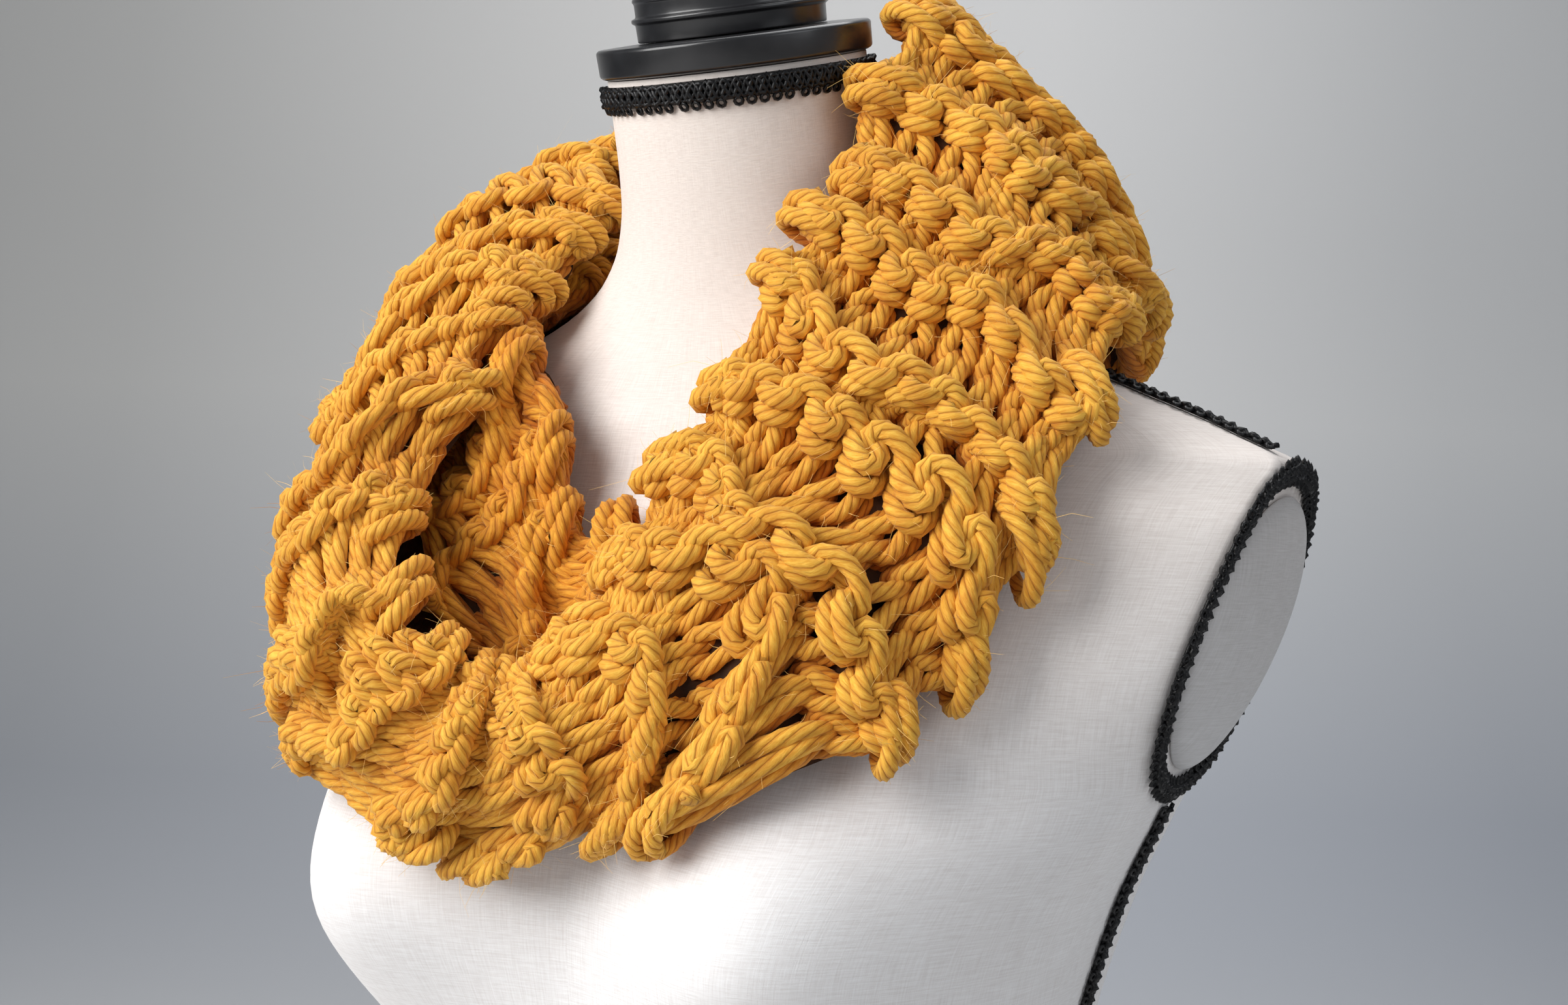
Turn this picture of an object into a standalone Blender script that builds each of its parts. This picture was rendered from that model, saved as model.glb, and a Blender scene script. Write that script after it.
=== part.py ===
"""Infinity scarf worn in two wraps on a limbless dress form.

Metres, +Z up, front of the form towards -Y, the form's own left at +X. The flat underside of the form is on Z = 0 and the shoulder points are at Z = SHOULDER.
All sizes below are in millimetres and are turned into metres when a mesh is made.
"""

import math

import bpy
import numpy as np
from mathutils import Vector
from mathutils.bvhtree import BVHTree

MM = 0.001
SHOULDER = 560.0  # height of the shoulder points above the underside
GAP = 0.35  # clear space between two pieces that meet

for obj in list(bpy.data.objects):
    bpy.data.objects.remove(obj, do_unlink=True)


# ------------------------------------------------------------------ helpers
def material(name, colour, roughness, coat=0.0):
    mat = bpy.data.materials.new(name)
    mat.use_nodes = True
    bsdf = mat.node_tree.nodes["Principled BSDF"]
    bsdf.inputs["Base Color"].default_value = (*colour, 1)
    bsdf.inputs["Roughness"].default_value = roughness
    bsdf.inputs["Coat Weight"].default_value = coat
    return mat


def smooth_table(rows, key, at, period=None):
    """The columns of a table at one value of its first column, by a monotone-ish cubic through the rows."""
    rows = np.asarray(rows, float)
    x, y = rows[:, 0], rows[:, 1:]
    if period:
        x = np.concatenate([x[-2:] - period, x, x[:2] + period])
        y = np.concatenate([y[-2:], y, y[:2]])
        at = (at - x[2]) % period + x[2]
    slope = np.zeros_like(y)
    step = np.diff(x)[:, None]
    rise = np.diff(y, axis=0) / step
    slope[1:-1] = np.where(
        rise[:-1] * rise[1:] > 0,
        2 * rise[:-1] * rise[1:] / np.where(rise[:-1] + rise[1:] == 0, 1, rise[:-1] + rise[1:]),
        0.0,
    )
    if key == "free":  # rounder than the flattened slopes
        slope[1:-1] = (y[2:] - y[:-2]) / (x[2:] - x[:-2])[:, None]
    slope[0], slope[-1] = rise[0], rise[-1]
    i = int(np.clip(np.searchsorted(x, at, side="right") - 1, 0, len(x) - 2))
    h = x[i + 1] - x[i]
    t = (at - x[i]) / h
    return (
        (2 * t**3 - 3 * t**2 + 1) * y[i]
        + (t**3 - 2 * t**2 + t) * h * slope[i]
        + (3 * t**2 - 2 * t**3) * y[i + 1]
        + (t**3 - t**2) * h * slope[i + 1]
    )


def add_mesh(name, points, faces, mat, smooth=True):
    mesh = bpy.data.meshes.new(name)
    mesh.from_pydata([tuple(p * MM) for p in points], [], [tuple(f) for f in faces])
    mesh.validate()
    mesh.materials.append(mat)
    obj = bpy.data.objects.new(name, mesh)
    bpy.context.collection.objects.link(obj)
    for poly in mesh.polygons:
        poly.use_smooth = smooth and len(poly.vertices) < 6
    return obj


def loft(name, rings, mat, around=False):
    """Skins a row of closed sections, facing outwards. `around` joins the last section to the first; otherwise both ends are closed flat."""
    count, size = len(rings), len(rings[0])
    points = np.concatenate(rings)
    faces = []
    for i in range(count if around else count - 1):
        j = (i + 1) % count
        for a in range(size):
            b = (a + 1) % size
            faces.append((i * size + a, i * size + b, j * size + b, j * size + a))
    if not around:
        faces.append(tuple(range(size))[::-1])
        faces.append(tuple((count - 1) * size + a for a in range(size)))
    centred = points - points.mean(axis=0)
    volume = 0.0
    for f in faces:
        for k in range(1, len(f) - 1):
            a, b, c = centred[f[0]], centred[f[k]], centred[f[k + 1]]
            volume += a.dot(np.cross(b, c))
    if volume < 0:
        faces = [f[::-1] for f in faces]
    return add_mesh(name, points, faces, mat)


# ------------------------------------------------------------------ colours
linen = material("bleached_linen", (0.80, 0.77, 0.73), 0.9)
plate_linen = material("arm_plate_linen", (0.72, 0.71, 0.70), 0.9)
black_wood = material("black_turned_wood", (0.012, 0.012, 0.013), 0.32, 0.4)
gimp = material("black_gimp_braid", (0.010, 0.010, 0.011), 0.55)
mustard = material("mustard_knit", (0.66, 0.33, 0.045), 0.85)
mustard_deep = material("mustard_knit_inner", (0.52, 0.23, 0.03), 0.88)

# ------------------------------------------------------------------ dress form
# height from the shoulder points, centre y, lean, half width at the side flat, fullness of the flat, front depth, back depth, roundness
FORM = [
    # z      yc    lean  side  full   front  back  round
    (-560.0, 2.0, 0.0, 156.0, 1.010, 100.0, 108.0, 2.25),
    (-505.0, 2.0, 0.0, 167.0, 1.010, 107.0, 118.0, 2.25),
    (-440.0, 2.0, 0.0, 158.0, 1.010, 105.0, 110.0, 2.2),
    (-380.0, 2.0, 0.0, 134.0, 1.010, 98.0, 90.0, 2.15),
    (-325.0, 3.0, 0.0, 119.0, 1.010, 93.0, 77.0, 2.1),
    (-260.0, 4.0, 0.0, 123.0, 1.010, 101.0, 79.0, 2.1),
    (-194.0, 6.0, 0.0, 137.0, 1.010, 116.0, 88.0, 2.35),
    (-157.0, 8.0, 0.0, 147.5, 1.012, 121.0, 93.0, 2.4),
    (-128.0, 9.0, 0.0, 160.0, 1.012, 118.0, 95.0, 2.35),
    (-112.0, 10.0, 0.0, 167.0, 1.022, 114.0, 95.0, 2.2),
    (-95.0, 11.0, 0.0, 173.0, 1.060, 109.0, 95.0, 2.2),
    (-70.0, 12.0, 0.0, 181.7, 1.120, 102.0, 94.0, 2.2),
    (-45.0, 12.0, 0.0, 190.4, 1.140, 93.0, 88.0, 2.15),
    (-25.0, 10.0, 0.0, 197.5, 1.145, 84.0, 80.0, 2.05),
    (-12.0, 7.0, 0.0, 202.0, 1.100, 77.0, 74.0, 1.95),
    (-3.0, 4.0, 0.0, 205.0, 1.050, 72.0, 70.0, 1.88),
    (8.0, 2.0, 0.0, 186.0, 1.012, 68.0, 67.0, 1.82),
    (22.0, 2.0, 0.5, 153.0, 1.010, 64.5, 63.0, 1.8),
    (38.0, 2.0, 2.0, 115.0, 1.010, 61.5, 59.0, 1.82),
    (52.0, 0.5, 4.0, 84.0, 1.010, 58.5, 56.0, 1.9),
    (66.0, -3.5, 7.0, 65.0, 1.010, 55.0, 53.0, 1.97),
    (82.0, -9.2, 11.0, 54.5, 1.010, 51.5, 50.5, 2.0),
    (100.0, -15.5, 15.0, 50.0, 1.008, 49.6, 49.6, 2.0),
    (120.0, -22.3, 18.2, 48.9, 1.006, 48.9, 48.9, 2.0),
    (143.2, -30.0, 18.2, 48.7, 1.006, 48.7, 48.7, 2.0),
]
BUST = dict(x=87.0, z=-162.0, rise=45.0, wide=55.0, above=62.0, below=52.0)
FRONT_COLUMNS, FLAT_COLUMNS, BACK_COLUMNS = 12, 4, 8


def form_section(z):
    """One closed section of the form, anticlockwise from above, from the front centre towards +X. It also gives the two corner columns of the side flat."""
    yc, lean, side, full, front, back, power = smooth_table(FORM, "flat", z)
    wide = side * full
    half = []
    corner = math.asin(min(1.0, (side / wide) ** (power / 2)))
    for i in range(FRONT_COLUMNS):
        a = corner * i / (FRONT_COLUMNS - 1)
        half.append((wide * math.sin(a) ** (2 / power), -front * math.cos(a) ** (2 / power)))
    front_y = half[-1][1]
    back_y = back * math.cos(corner) ** (2 / power)
    for i in range(1, FLAT_COLUMNS):
        half.append((side, front_y + (back_y - front_y) * i / FLAT_COLUMNS))
    for i in range(BACK_COLUMNS):
        a = corner * (1 - i / (BACK_COLUMNS - 1))
        half.append((wide * math.sin(a) ** (2 / power), back * math.cos(a) ** (2 / power)))
    ring = half + [(-x, y) for x, y in half[-2:0:-1]]
    out = []
    tilt = math.radians(lean)
    for x, y in ring:
        if y < 0:
            rise = z - BUST["z"]
            tall = BUST["above"] if rise > 0 else BUST["below"]
            bump = BUST["rise"] * math.exp(
                -(((abs(x) - BUST["x"]) / BUST["wide"]) ** 2) - (rise / tall) ** 2
            )
            y -= bump * min(1.0, -y / 40)
        out.append((x, yc + y * math.cos(tilt), SHOULDER + z + y * math.sin(tilt)))
    return np.array(out)


levels = np.concatenate(
    [
        np.linspace(-560, -330, 8),
        np.linspace(-300, -130, 11),
        np.linspace(-118, -14, 9),
        [-6.0, -3.0, 3.0, 11.0],
        np.linspace(22, 143.2, 10),
    ]
)
form_rings = [form_section(z) for z in levels]
form = loft("dress_form", form_rings, linen)

# a lookup of the form's own surface, which everything on it rests on
form_mesh = form.data
form_mesh.calc_loop_triangles()
form_tree = BVHTree.FromPolygons(
    [v.co / MM for v in form_mesh.vertices],
    [tuple(t.vertices) for t in form_mesh.loop_triangles],
)


def clear_of_form(point, distance):
    """The point, moved straight out from the form until it is at least this far from it."""
    p = Vector(point)
    for _ in range(4):
        near, normal, _, _ = form_tree.find_nearest(p)
        away = p - near
        out = away.dot(normal) > 0
        gap = away.length if out else -away.length
        if gap >= distance - 1e-3:
            break
        aim = normal if away.length < 0.5 or not out else away.normalized()
        p = near + aim * distance
    return np.array(p)


def on_form(point, height):
    """The nearest point of the form's surface, raised along its normal, and that normal."""
    near, normal, _, _ = form_tree.find_nearest(Vector(point))
    return np.array(near + normal * height), np.array(normal)


# ------------------------------------------------------------------ neck cap, turned
NECK_TOP = np.array([0.0, -30.0, SHOULDER + 143.2])
LEAN = math.radians(18.2)
# height above the neck's top face, radius
CAP_DISC = [(0.4, 0.0), (0.4, 49.8), (1.4, 51.5), (10.4, 51.8), (11.4, 50.8), (11.8, 40.0), (11.8, 0.0)]
CAP_STEPS = [
    (12.15, 0.0),
    (12.15, 35.6),
    (18.8, 35.8),
    (19.4, 37.1),
    (20.8, 37.1),
    (21.4, 35.4),
    (26.2, 35.4),
    (26.9, 36.0),
    (28.1, 35.8),
    (28.8, 33.8),
    (34.0, 33.4),
    (36.0, 31.8),
    (37.6, 27.0),
    (38.6, 16.0),
    (39.0, 0.0),
]


def turned(name, profile, mat, steps=40):
    mesh = bpy.data.meshes.new(name)
    pts = [(r * MM, 0.0, h * MM) for h, r in profile]
    mesh.from_pydata(pts, [(i, i + 1) for i in range(len(pts) - 1)], [])
    mesh.materials.append(mat)
    obj = bpy.data.objects.new(name, mesh)
    bpy.context.collection.objects.link(obj)
    mod = obj.modifiers.new("turn", "SCREW")
    mod.steps = mod.render_steps = steps
    mod.use_merge_vertices = True
    mod.merge_threshold = 0.00005
    mod.use_smooth_shade = True
    mod.use_normal_calculate = True
    obj.location = NECK_TOP * MM
    obj.rotation_euler = (LEAN, 0, 0)
    return obj


cap_disc = turned("neck_cap_disc", CAP_DISC, black_wood)
cap_steps = turned("neck_cap_steps", CAP_STEPS, black_wood)

# ------------------------------------------------------------------ arm plates
PLATE_INSET, PLATE_DOME = 0.80, 12.0
flat_rows = [i for i, z in enumerate(levels) if -112 < z < -8]


def arm_plate(name, sign):
    corner_front = np.array([form_rings[i][FRONT_COLUMNS - 1] for i in flat_rows])
    corner_back = np.array([form_rings[i][FRONT_COLUMNS - 1 + FLAT_COLUMNS] for i in flat_rows])
    outline = np.concatenate([corner_front, corner_back[::-1]])
    centre = outline.mean(axis=0)
    up = corner_front[-1] - corner_front[0]
    up = np.array([up[0], 0, up[2]])
    up /= np.linalg.norm(up)
    side = np.array([0.0, 1.0, 0.0])
    out = np.cross(side, up)
    out *= np.sign(out[0])
    rel = outline - centre
    half_up = (rel @ up).max() * PLATE_INSET + 4
    half_side = (rel @ side).max() * PLATE_INSET
    rings = []
    # share of the radius, height off the flat
    for share, height in [
        (0.97, 0.0),
        (1.0, 0.7),
        (1.0, 3.0),
        (0.90, 6.6),
        (0.66, 10.2),
        (0.30, 12.0),
    ]:
        ring = []
        for k in range(28):
            a = 2 * math.pi * k / 28
            p = (
                centre
                + up * half_up * share * math.cos(a)
                + side * half_side * share * math.sin(a) * (1 + 0.10 * math.cos(a))
                + out * (GAP + height)
            )
            ring.append((p[0] * sign, p[1], p[2]))
        rings.append(np.array(ring))
    return loft(name, rings, plate_linen)


plate_left = arm_plate("arm_plate_left", 1)
plate_right = arm_plate("arm_plate_right", -1)


# ------------------------------------------------------------------ braid
UNDER = (0.5, 0.25, 0.0, -0.25, -0.5)
OVER = ((-0.5, 0.5), (-0.3, 1.0), (0.3, 1.0), (0.5, 0.5))


def braid(name, path, width, thick, closed=False, lift=0.5, under=UNDER):
    """A flat woven braid laid along a path on the form. Each section turns and bends with the surface under it."""
    path = [np.array(p, float) for p in path]
    count = len(path)
    rings = []
    for i, p in enumerate(path):
        before = path[(i - 1) % count] if closed else path[max(i - 1, 0)]
        after = path[(i + 1) % count] if closed else path[min(i + 1, count - 1)]
        along = after - before
        along /= np.linalg.norm(along)
        normal = np.zeros(3)
        for q in (before, p, after):
            normal += on_form(q, 0)[1]
        normal -= along * normal.dot(along)
        normal /= np.linalg.norm(normal)
        across = np.cross(normal, along)
        ring = [on_form(p + across * width * s, lift)[0] for s in under]
        for s, h in OVER:
            ring.append(on_form(p + across * width * s, lift)[0] + normal * thick * h)
        rings.append(np.array(ring))
    return loft(name, rings, gimp, around=closed)


BRAID_WIDE, BRAID_THICK = 8.6, 2.2
axis = np.array([0.0, -math.sin(LEAN), math.cos(LEAN)])
side_x = np.array([1.0, 0.0, 0.0])
side_y = np.array([0.0, math.cos(LEAN), math.sin(LEAN)])
around_neck = [
    NECK_TOP - axis * 5.7 + 48.8 * (side_x * math.cos(t) + side_y * math.sin(t))
    for t in np.linspace(0, 2 * math.pi, 48, endpoint=False)
]
braid("neck_braid", around_neck, 9.6, BRAID_THICK, closed=True, under=(0.5, 0.0, -0.5))

armhole_rows = [i for i, z in enumerate(levels) if -112 < z < -5]
for side_name, sign in (("left", 1), ("right", -1)):
    mirror = np.array([sign, 1, 1])
    front_line = [form_rings[i][FRONT_COLUMNS - 1] for i in armhole_rows]
    back_line = [form_rings[i][FRONT_COLUMNS - 1 + FLAT_COLUMNS] for i in armhole_rows]
    top = (front_line[-1] + back_line[-1]) / 2 + np.array([0.4, 0, 3.0])
    foot = (front_line[0] + back_line[0]) / 2 + np.array([-3.0, 0, -9.0])
    corners = front_line + [top] + back_line[::-1] + [foot]
    # even steps round the opening
    loop = np.array(corners + corners[:1])
    run = np.concatenate([[0], np.cumsum(np.linalg.norm(np.diff(loop, axis=0), axis=1))])
    at = np.linspace(0, run[-1], 48, endpoint=False)
    even = np.stack([np.interp(at, run, loop[:, k]) for k in range(3)], axis=1)
    for _ in range(3):
        even = (np.roll(even, 1, 0) + 2 * even + np.roll(even, -1, 0)) / 4
    braid(f"armhole_braid_{side_name}", even * mirror, BRAID_WIDE, BRAID_THICK, closed=True, lift=1.2)
    # the side seam, from just under the armhole to the foot of the form
    seam = []
    for z in np.linspace(-128.0, -556.0, 30):
        yc, lean, side, full, front, back, power = smooth_table(FORM, "flat", z)
        seam.append((side * sign, yc, SHOULDER + z))
    braid(f"side_seam_braid_{side_name}", seam, BRAID_WIDE, BRAID_THICK, lift=1.0)
    # the shoulder seam, from the root of the neck to just short of the armhole
    seam = [
        on_form(((66 + 132 * t) * sign, -8 + 7 * t, SHOULDER + 58 - 53 * t), 0)[0]
        for t in np.linspace(0, 1, 12)
    ]
    braid(f"shoulder_braid_{side_name}", seam, BRAID_WIDE, BRAID_THICK, lift=0.7, under=(0.5, 0.0, -0.5))

# ------------------------------------------------------------------ scarf
# One long band, knitted crosswise in garter ridges and joined end to end, is wound round the neck twice. Each wrap is a wall with a section for each quarter of a ridge.
RIDGES = 28
# ridge number, then its direction at the neck edge, a quarter, half and three quarters of the way along, and at the hem; degrees from the front towards +X
RIDGE_LINES = [
    (0, -30, -30, -35, -44, -54),
    (1, -20, -20, -27, -36, -46),
    (2, -10, -9, -12, -22, -34),
    (3, -1, 4, 13, 18, -2),
    (4, 9, 17, 27, 36, 28),
    (5, 18, 27, 38, 49, 49),
    (6, 27, 38, 50, 58, 60),
    (7, 38, 49, 59, 65, 70),
    (8, 49, 63, 73, 78, 82),
    (9, 61, 73, 82, 88, 94),
    (10, 74, 84, 92, 99, 106),
    (11, 88, 96, 103, 110, 117),
    (12, 103, 109, 115, 121, 128),
    (13, 118, 122, 127, 132, 138),
    (14, 133, 136, 140, 144, 149),
    (15, 148, 150, 153, 156, 159),
    (16, 163, 164, 166, 168, 170),
    (17, 178, 178, 179, 180, 181),
    (18, 193, 192, 192, 192, 192),
    (19, 207, 206, 205, 204, 203),
    (20, 221, 220, 219, 217, 214),
    (21, 235, 234, 233, 230, 226),
    (22, 249, 248, 246, 243, 237),
    (23, 262, 262, 260, 255, 248),
    (24, 276, 276, 274, 268, 260),
    (25, 291, 291, 289, 282, 273),
    (26, 306, 305, 302, 295, 286),
    (27, 320, 319, 314, 306, 297),
    (28, 330, 330, 325, 316, 306),
]
# direction, then distance from the neck axis and height above the shoulder points at five places from the neck edge to the hem
OUTER = [
    # dir   neck edge    upper      belly      lower      hem
    (-165, 72, 154, 90, 134, 106, 92, 112, 48, 104, 4),
    (-140, 74, 148, 96, 132, 118, 92, 130, 48, 124, 12),
    (-115, 77, 132, 104, 124, 130, 92, 142, 46, 140, 20),
    (-98, 76, 113, 104, 116, 134, 94, 151, 50, 148, 22),
    (-80, 68, 91, 98, 101, 134, 86, 156, 42, 155, 4),
    (-62, 67, 64, 98, 72, 130, 56, 152, 6, 162, -58),
    (-50, 80, 43, 108, 46, 138, 24, 162, -30, 164, -90),
    (-40, 103, 19, 128, 16, 154, -12, 170, -62, 161, -118),
    (-30, 134, -22, 154, -26, 168, -48, 170, -92, 155, -130),
    (-20, 148, -62, 162, -68, 170, -90, 160, -122, 142, -138),
    (-10, 138, -82, 150, -92, 158, -108, 150, -130, 131, -147),
    (0, 120, -84, 134, -92, 148, -106, 142, -128, 122, -147),
    (10, 112, -40, 128, -62, 145, -88, 143, -118, 128, -140),
    (22, 102, 8, 116, -20, 135, -60, 146, -96, 142, -130),
    (36, 85, 62, 104, 26, 128, -22, 148, -70, 151, -120),
    (50, 76, 88, 100, 54, 130, 6, 152, -50, 148, -98),
    (62, 68, 120, 92, 84, 128, 36, 158, -14, 152, -54),
    (75, 64, 149, 86, 119, 122, 73, 149, 30, 154, -2),
    (90, 59, 166, 84, 141, 120, 101, 140, 64, 140, 34),
    (105, 59, 168, 84, 142, 118, 103, 137, 62, 134, 26),
    (123, 61, 168, 85, 139, 116, 101, 133, 58, 128, 12),
    (150, 65, 164, 86, 136, 110, 97, 120, 52, 112, 2),
    (180, 69, 157, 87, 133, 103, 94, 108, 50, 102, 0),
]
# direction, height where the inner wrap starts at the neck, height where it ends under the outer wrap
INNER = [
    (-160, 96, 10),
    (-120, 84, 24),
    (-95, 66, 34),
    (-75, 46, -2),
    (-55, 32, -56),
    (-38, 15, -92),
    (-28, 1, -104),
    (-19, -34, -112),
    (-10, -40, -116),
    (2, -36, -116),
    (14, -22, -110),
    (28, 6, -98),
    (45, 38, -66),
    (62, 62, -22),
    (80, 82, 28),
    (100, 92, 42),
    (125, 100, 22),
    (160, 100, 8),
]
OUTER_THICK, INNER_THICK = 14.0, 13.0
INNER_LIFT = 3.4 + INNER_THICK / 2  # middle of the inner wrap above the form
HEM_LIFT = 3.4 + OUTER_THICK / 2
OVER_INNER = INNER_LIFT + INNER_THICK / 2 + 1.6 + OUTER_THICK / 2
AXIS_Y = -5.0


def in_space(direction, distance, height):
    a = math.radians(direction)
    return np.array(
        [distance * math.sin(a), AXIS_Y - distance * math.cos(a), SHOULDER + height]
    )


def along(row, v):
    """Distance and height at a share v of the way from the neck edge to the hem."""
    pts = np.array(row).reshape(-1, 2)
    step = np.linalg.norm(np.diff(pts, axis=0), axis=1)
    run = np.concatenate([[0], np.cumsum(step)]) / step.sum()
    rows = np.concatenate([run[:, None], pts], axis=1)
    return smooth_table(rows, "free", v)


def form_radius(direction, height):
    """Where a level line out from the neck axis leaves the form."""
    a = math.radians(direction)
    far = Vector((600 * math.sin(a), AXIS_Y - 600 * math.cos(a), SHOULDER + height))
    hit, _, _, _ = form_tree.ray_cast(far, Vector((-math.sin(a), math.cos(a), 0)))
    return math.hypot(hit.x, hit.y - AXIS_Y)


def inner_point(direction, v):
    start, end = smooth_table(INNER, "free", direction, 360)
    # equal steps along the surface, found from a few heights
    heights = np.linspace(start, end, 13)
    reach = np.array([form_radius(direction, h) for h in heights])
    run = np.concatenate([[0], np.cumsum(np.hypot(np.diff(heights), np.diff(reach)))])
    at = v * run[-1]
    return in_space(direction, np.interp(at, run, reach), np.interp(at, run, heights))


def outer_point(direction, v):
    row = smooth_table(OUTER, "free", direction, 360)
    distance, height = along(row, v)
    return in_space(direction, distance, height)


def ridge_direction(line, v):
    """The direction at a share v of the way along a ridge, through its five stated directions."""
    quarters = [(q / 4, direction) for q, direction in enumerate(line)]
    return smooth_table(quarters, "free", v)[0]


def middle_of_wrap(which, columns, stations):
    """The middle surface of one wrap: columns run along the ridges, from the neck edge to the hem."""
    grid = np.zeros((columns, stations, 3))
    for c in range(columns):
        line = smooth_table(RIDGE_LINES, "free", RIDGES * c / columns)
        for j in range(stations):
            v = j / (stations - 1)
            direction = ridge_direction(line, v)
            if which == "inner":
                direction = ridge_direction(line, 0.10 + 0.45 * v)
                p = inner_point(direction, v)
                # it bellies away from the form at the form's right front, where the outer wrap stands off it
                off = (direction + 180) % 360 - 180 + 36
                grid[c, j] = on_form(p, INNER_LIFT + 11 * math.exp(-((off / 25) ** 2)))[0]
                continue
            p = outer_point(direction, v)
            near, _ = on_form(p, 0)
            start, end = smooth_table(INNER, "free", direction, 360)
            # how far the place is past either edge of the inner wrap, where the outer one may come closer to the form
            level = near[2] - SHOULDER
            share = min(1.0, max(0.0, (end - level - 9) / 24, (level - start - 3) / 17))
            share = share * share * (3 - 2 * share)
            need = OVER_INNER + (HEM_LIFT - OVER_INNER) * share
            grid[c, j] = clear_of_form(p, need)
    return grid


def smoothed(grid, passes):
    for _ in range(passes):
        grid = (np.roll(grid, 1, 0) + 2 * grid + np.roll(grid, -1, 0)) / 4
        inside = grid.copy()
        inside[:, 1:-1] = (grid[:, :-2] + 2 * grid[:, 1:-1] + grid[:, 2:]) / 4
        grid = inside
    return grid


def normals_of(grid):
    round_way = np.roll(grid, -1, 0) - np.roll(grid, 1, 0)
    down_way = np.gradient(grid, axis=1)
    n = np.cross(round_way, down_way)
    n /= np.linalg.norm(n, axis=2, keepdims=True)
    out = grid - np.array([0, AXIS_Y, SHOULDER - 60])
    return n if (n * out).sum() > 0 else -n


def clear_of_inner(point, distance):
    """The point, moved away from the inner wrap and never towards the form, until it is at least this far from it."""
    p = Vector(point)
    for _ in range(5):
        near, normal, _, _ = inner_tree.find_nearest(p)
        away = p - near
        out = away.dot(normal) > 0
        gap = away.length if out else -away.length
        if gap >= distance - 1e-3:
            break
        off_form = Vector(on_form(p, 0)[1])
        aim = away.normalized() if out and away.length > 0.5 else normal.copy()
        if aim.dot(off_form) < 0.2:
            aim = off_form
        p = p + aim * (distance - gap)
    return np.array(p)


def wrap_wall(name, which, columns, stations, thick, mat, swell):
    """A wall of even thickness with rounded edges, swelling a little along each ridge."""
    grid = middle_of_wrap(which, columns, stations)
    if which == "outer":
        grid = smoothed(grid, 1)
        for c in range(columns):
            for j in range(stations):
                p = clear_of_form(grid[c, j], HEM_LIFT)
                grid[c, j] = clear_of_form(clear_of_inner(p, thick / 2 + 1.5), HEM_LIFT)
    normal = normals_of(grid)
    rings = []
    for c in range(columns):
        ridge = 0.5 + 0.5 * math.cos(2 * math.pi * c * RIDGES / columns)
        more = swell * ridge
        row, n = grid[c], normal[c]
        half = thick / 2
        up = row[0] - row[1]
        up /= np.linalg.norm(up)
        down = row[-1] - row[-2]
        down /= np.linalg.norm(down)
        ring = [row[j] + n[j] * (half - swell + more) for j in range(stations)]
        for a in (50, 130):
            a = math.radians(a)
            ring.append(row[-1] + (n[-1] * math.cos(a) + down * math.sin(a)) * (half - swell + more * 0.5))
        ring += [row[j] - n[j] * (half - swell * 0.4) for j in range(stations - 1, -1, -1)]
        for a in (130, 50):
            a = math.radians(a)
            ring.append(row[0] + (n[0] * math.cos(a) + up * math.sin(a)) * (half - swell + more))
        rings.append(np.array(ring))
    return loft(name, rings, mat, around=True), grid


inner_wrap, inner_grid = wrap_wall("scarf_inner_wrap", "inner", 56, 6, INNER_THICK, mustard_deep, 1.6)
inner_mesh = inner_wrap.data
inner_mesh.calc_loop_triangles()
inner_tree = BVHTree.FromPolygons(
    [v.co / MM for v in inner_mesh.vertices],
    [tuple(t.vertices) for t in inner_mesh.loop_triangles],
)
outer_wrap, outer_grid = wrap_wall("scarf_outer_wrap", "outer", 84, 8, OUTER_THICK, mustard, 2.4)
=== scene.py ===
"""The looks of an infinity scarf worn in two wraps on a limbless dress form.

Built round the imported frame: metres, +Z up, front of the form towards -Y. Sizes below are in millimetres and are turned into metres when a mesh is made.
"""

import math

import bpy
import numpy as np
from mathutils import Matrix, Vector
from mathutils.bvhtree import BVHTree


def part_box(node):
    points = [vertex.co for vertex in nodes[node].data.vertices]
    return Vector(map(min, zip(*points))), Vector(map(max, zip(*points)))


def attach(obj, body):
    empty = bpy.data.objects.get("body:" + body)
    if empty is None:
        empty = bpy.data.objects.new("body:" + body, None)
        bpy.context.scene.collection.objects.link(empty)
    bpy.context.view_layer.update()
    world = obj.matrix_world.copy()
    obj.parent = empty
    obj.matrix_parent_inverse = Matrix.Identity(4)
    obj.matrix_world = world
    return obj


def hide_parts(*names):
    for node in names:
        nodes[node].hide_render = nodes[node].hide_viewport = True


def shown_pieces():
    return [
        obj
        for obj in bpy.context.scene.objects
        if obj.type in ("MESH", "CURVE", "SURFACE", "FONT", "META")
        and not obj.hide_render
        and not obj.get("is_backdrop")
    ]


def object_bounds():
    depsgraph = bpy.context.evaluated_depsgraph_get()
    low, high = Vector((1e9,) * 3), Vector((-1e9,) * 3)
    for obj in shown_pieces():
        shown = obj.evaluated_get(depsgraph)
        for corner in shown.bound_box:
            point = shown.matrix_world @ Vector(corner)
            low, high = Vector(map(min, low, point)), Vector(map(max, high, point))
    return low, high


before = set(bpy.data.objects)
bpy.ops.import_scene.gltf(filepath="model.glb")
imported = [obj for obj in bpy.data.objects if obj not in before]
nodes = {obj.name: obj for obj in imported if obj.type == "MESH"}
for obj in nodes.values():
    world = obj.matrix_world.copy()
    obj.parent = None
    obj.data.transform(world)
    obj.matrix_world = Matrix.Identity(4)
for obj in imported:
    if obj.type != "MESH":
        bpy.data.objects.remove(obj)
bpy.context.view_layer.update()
MM = 0.001
SHOULDER = 560.0
rng = np.random.default_rng(41)


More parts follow.
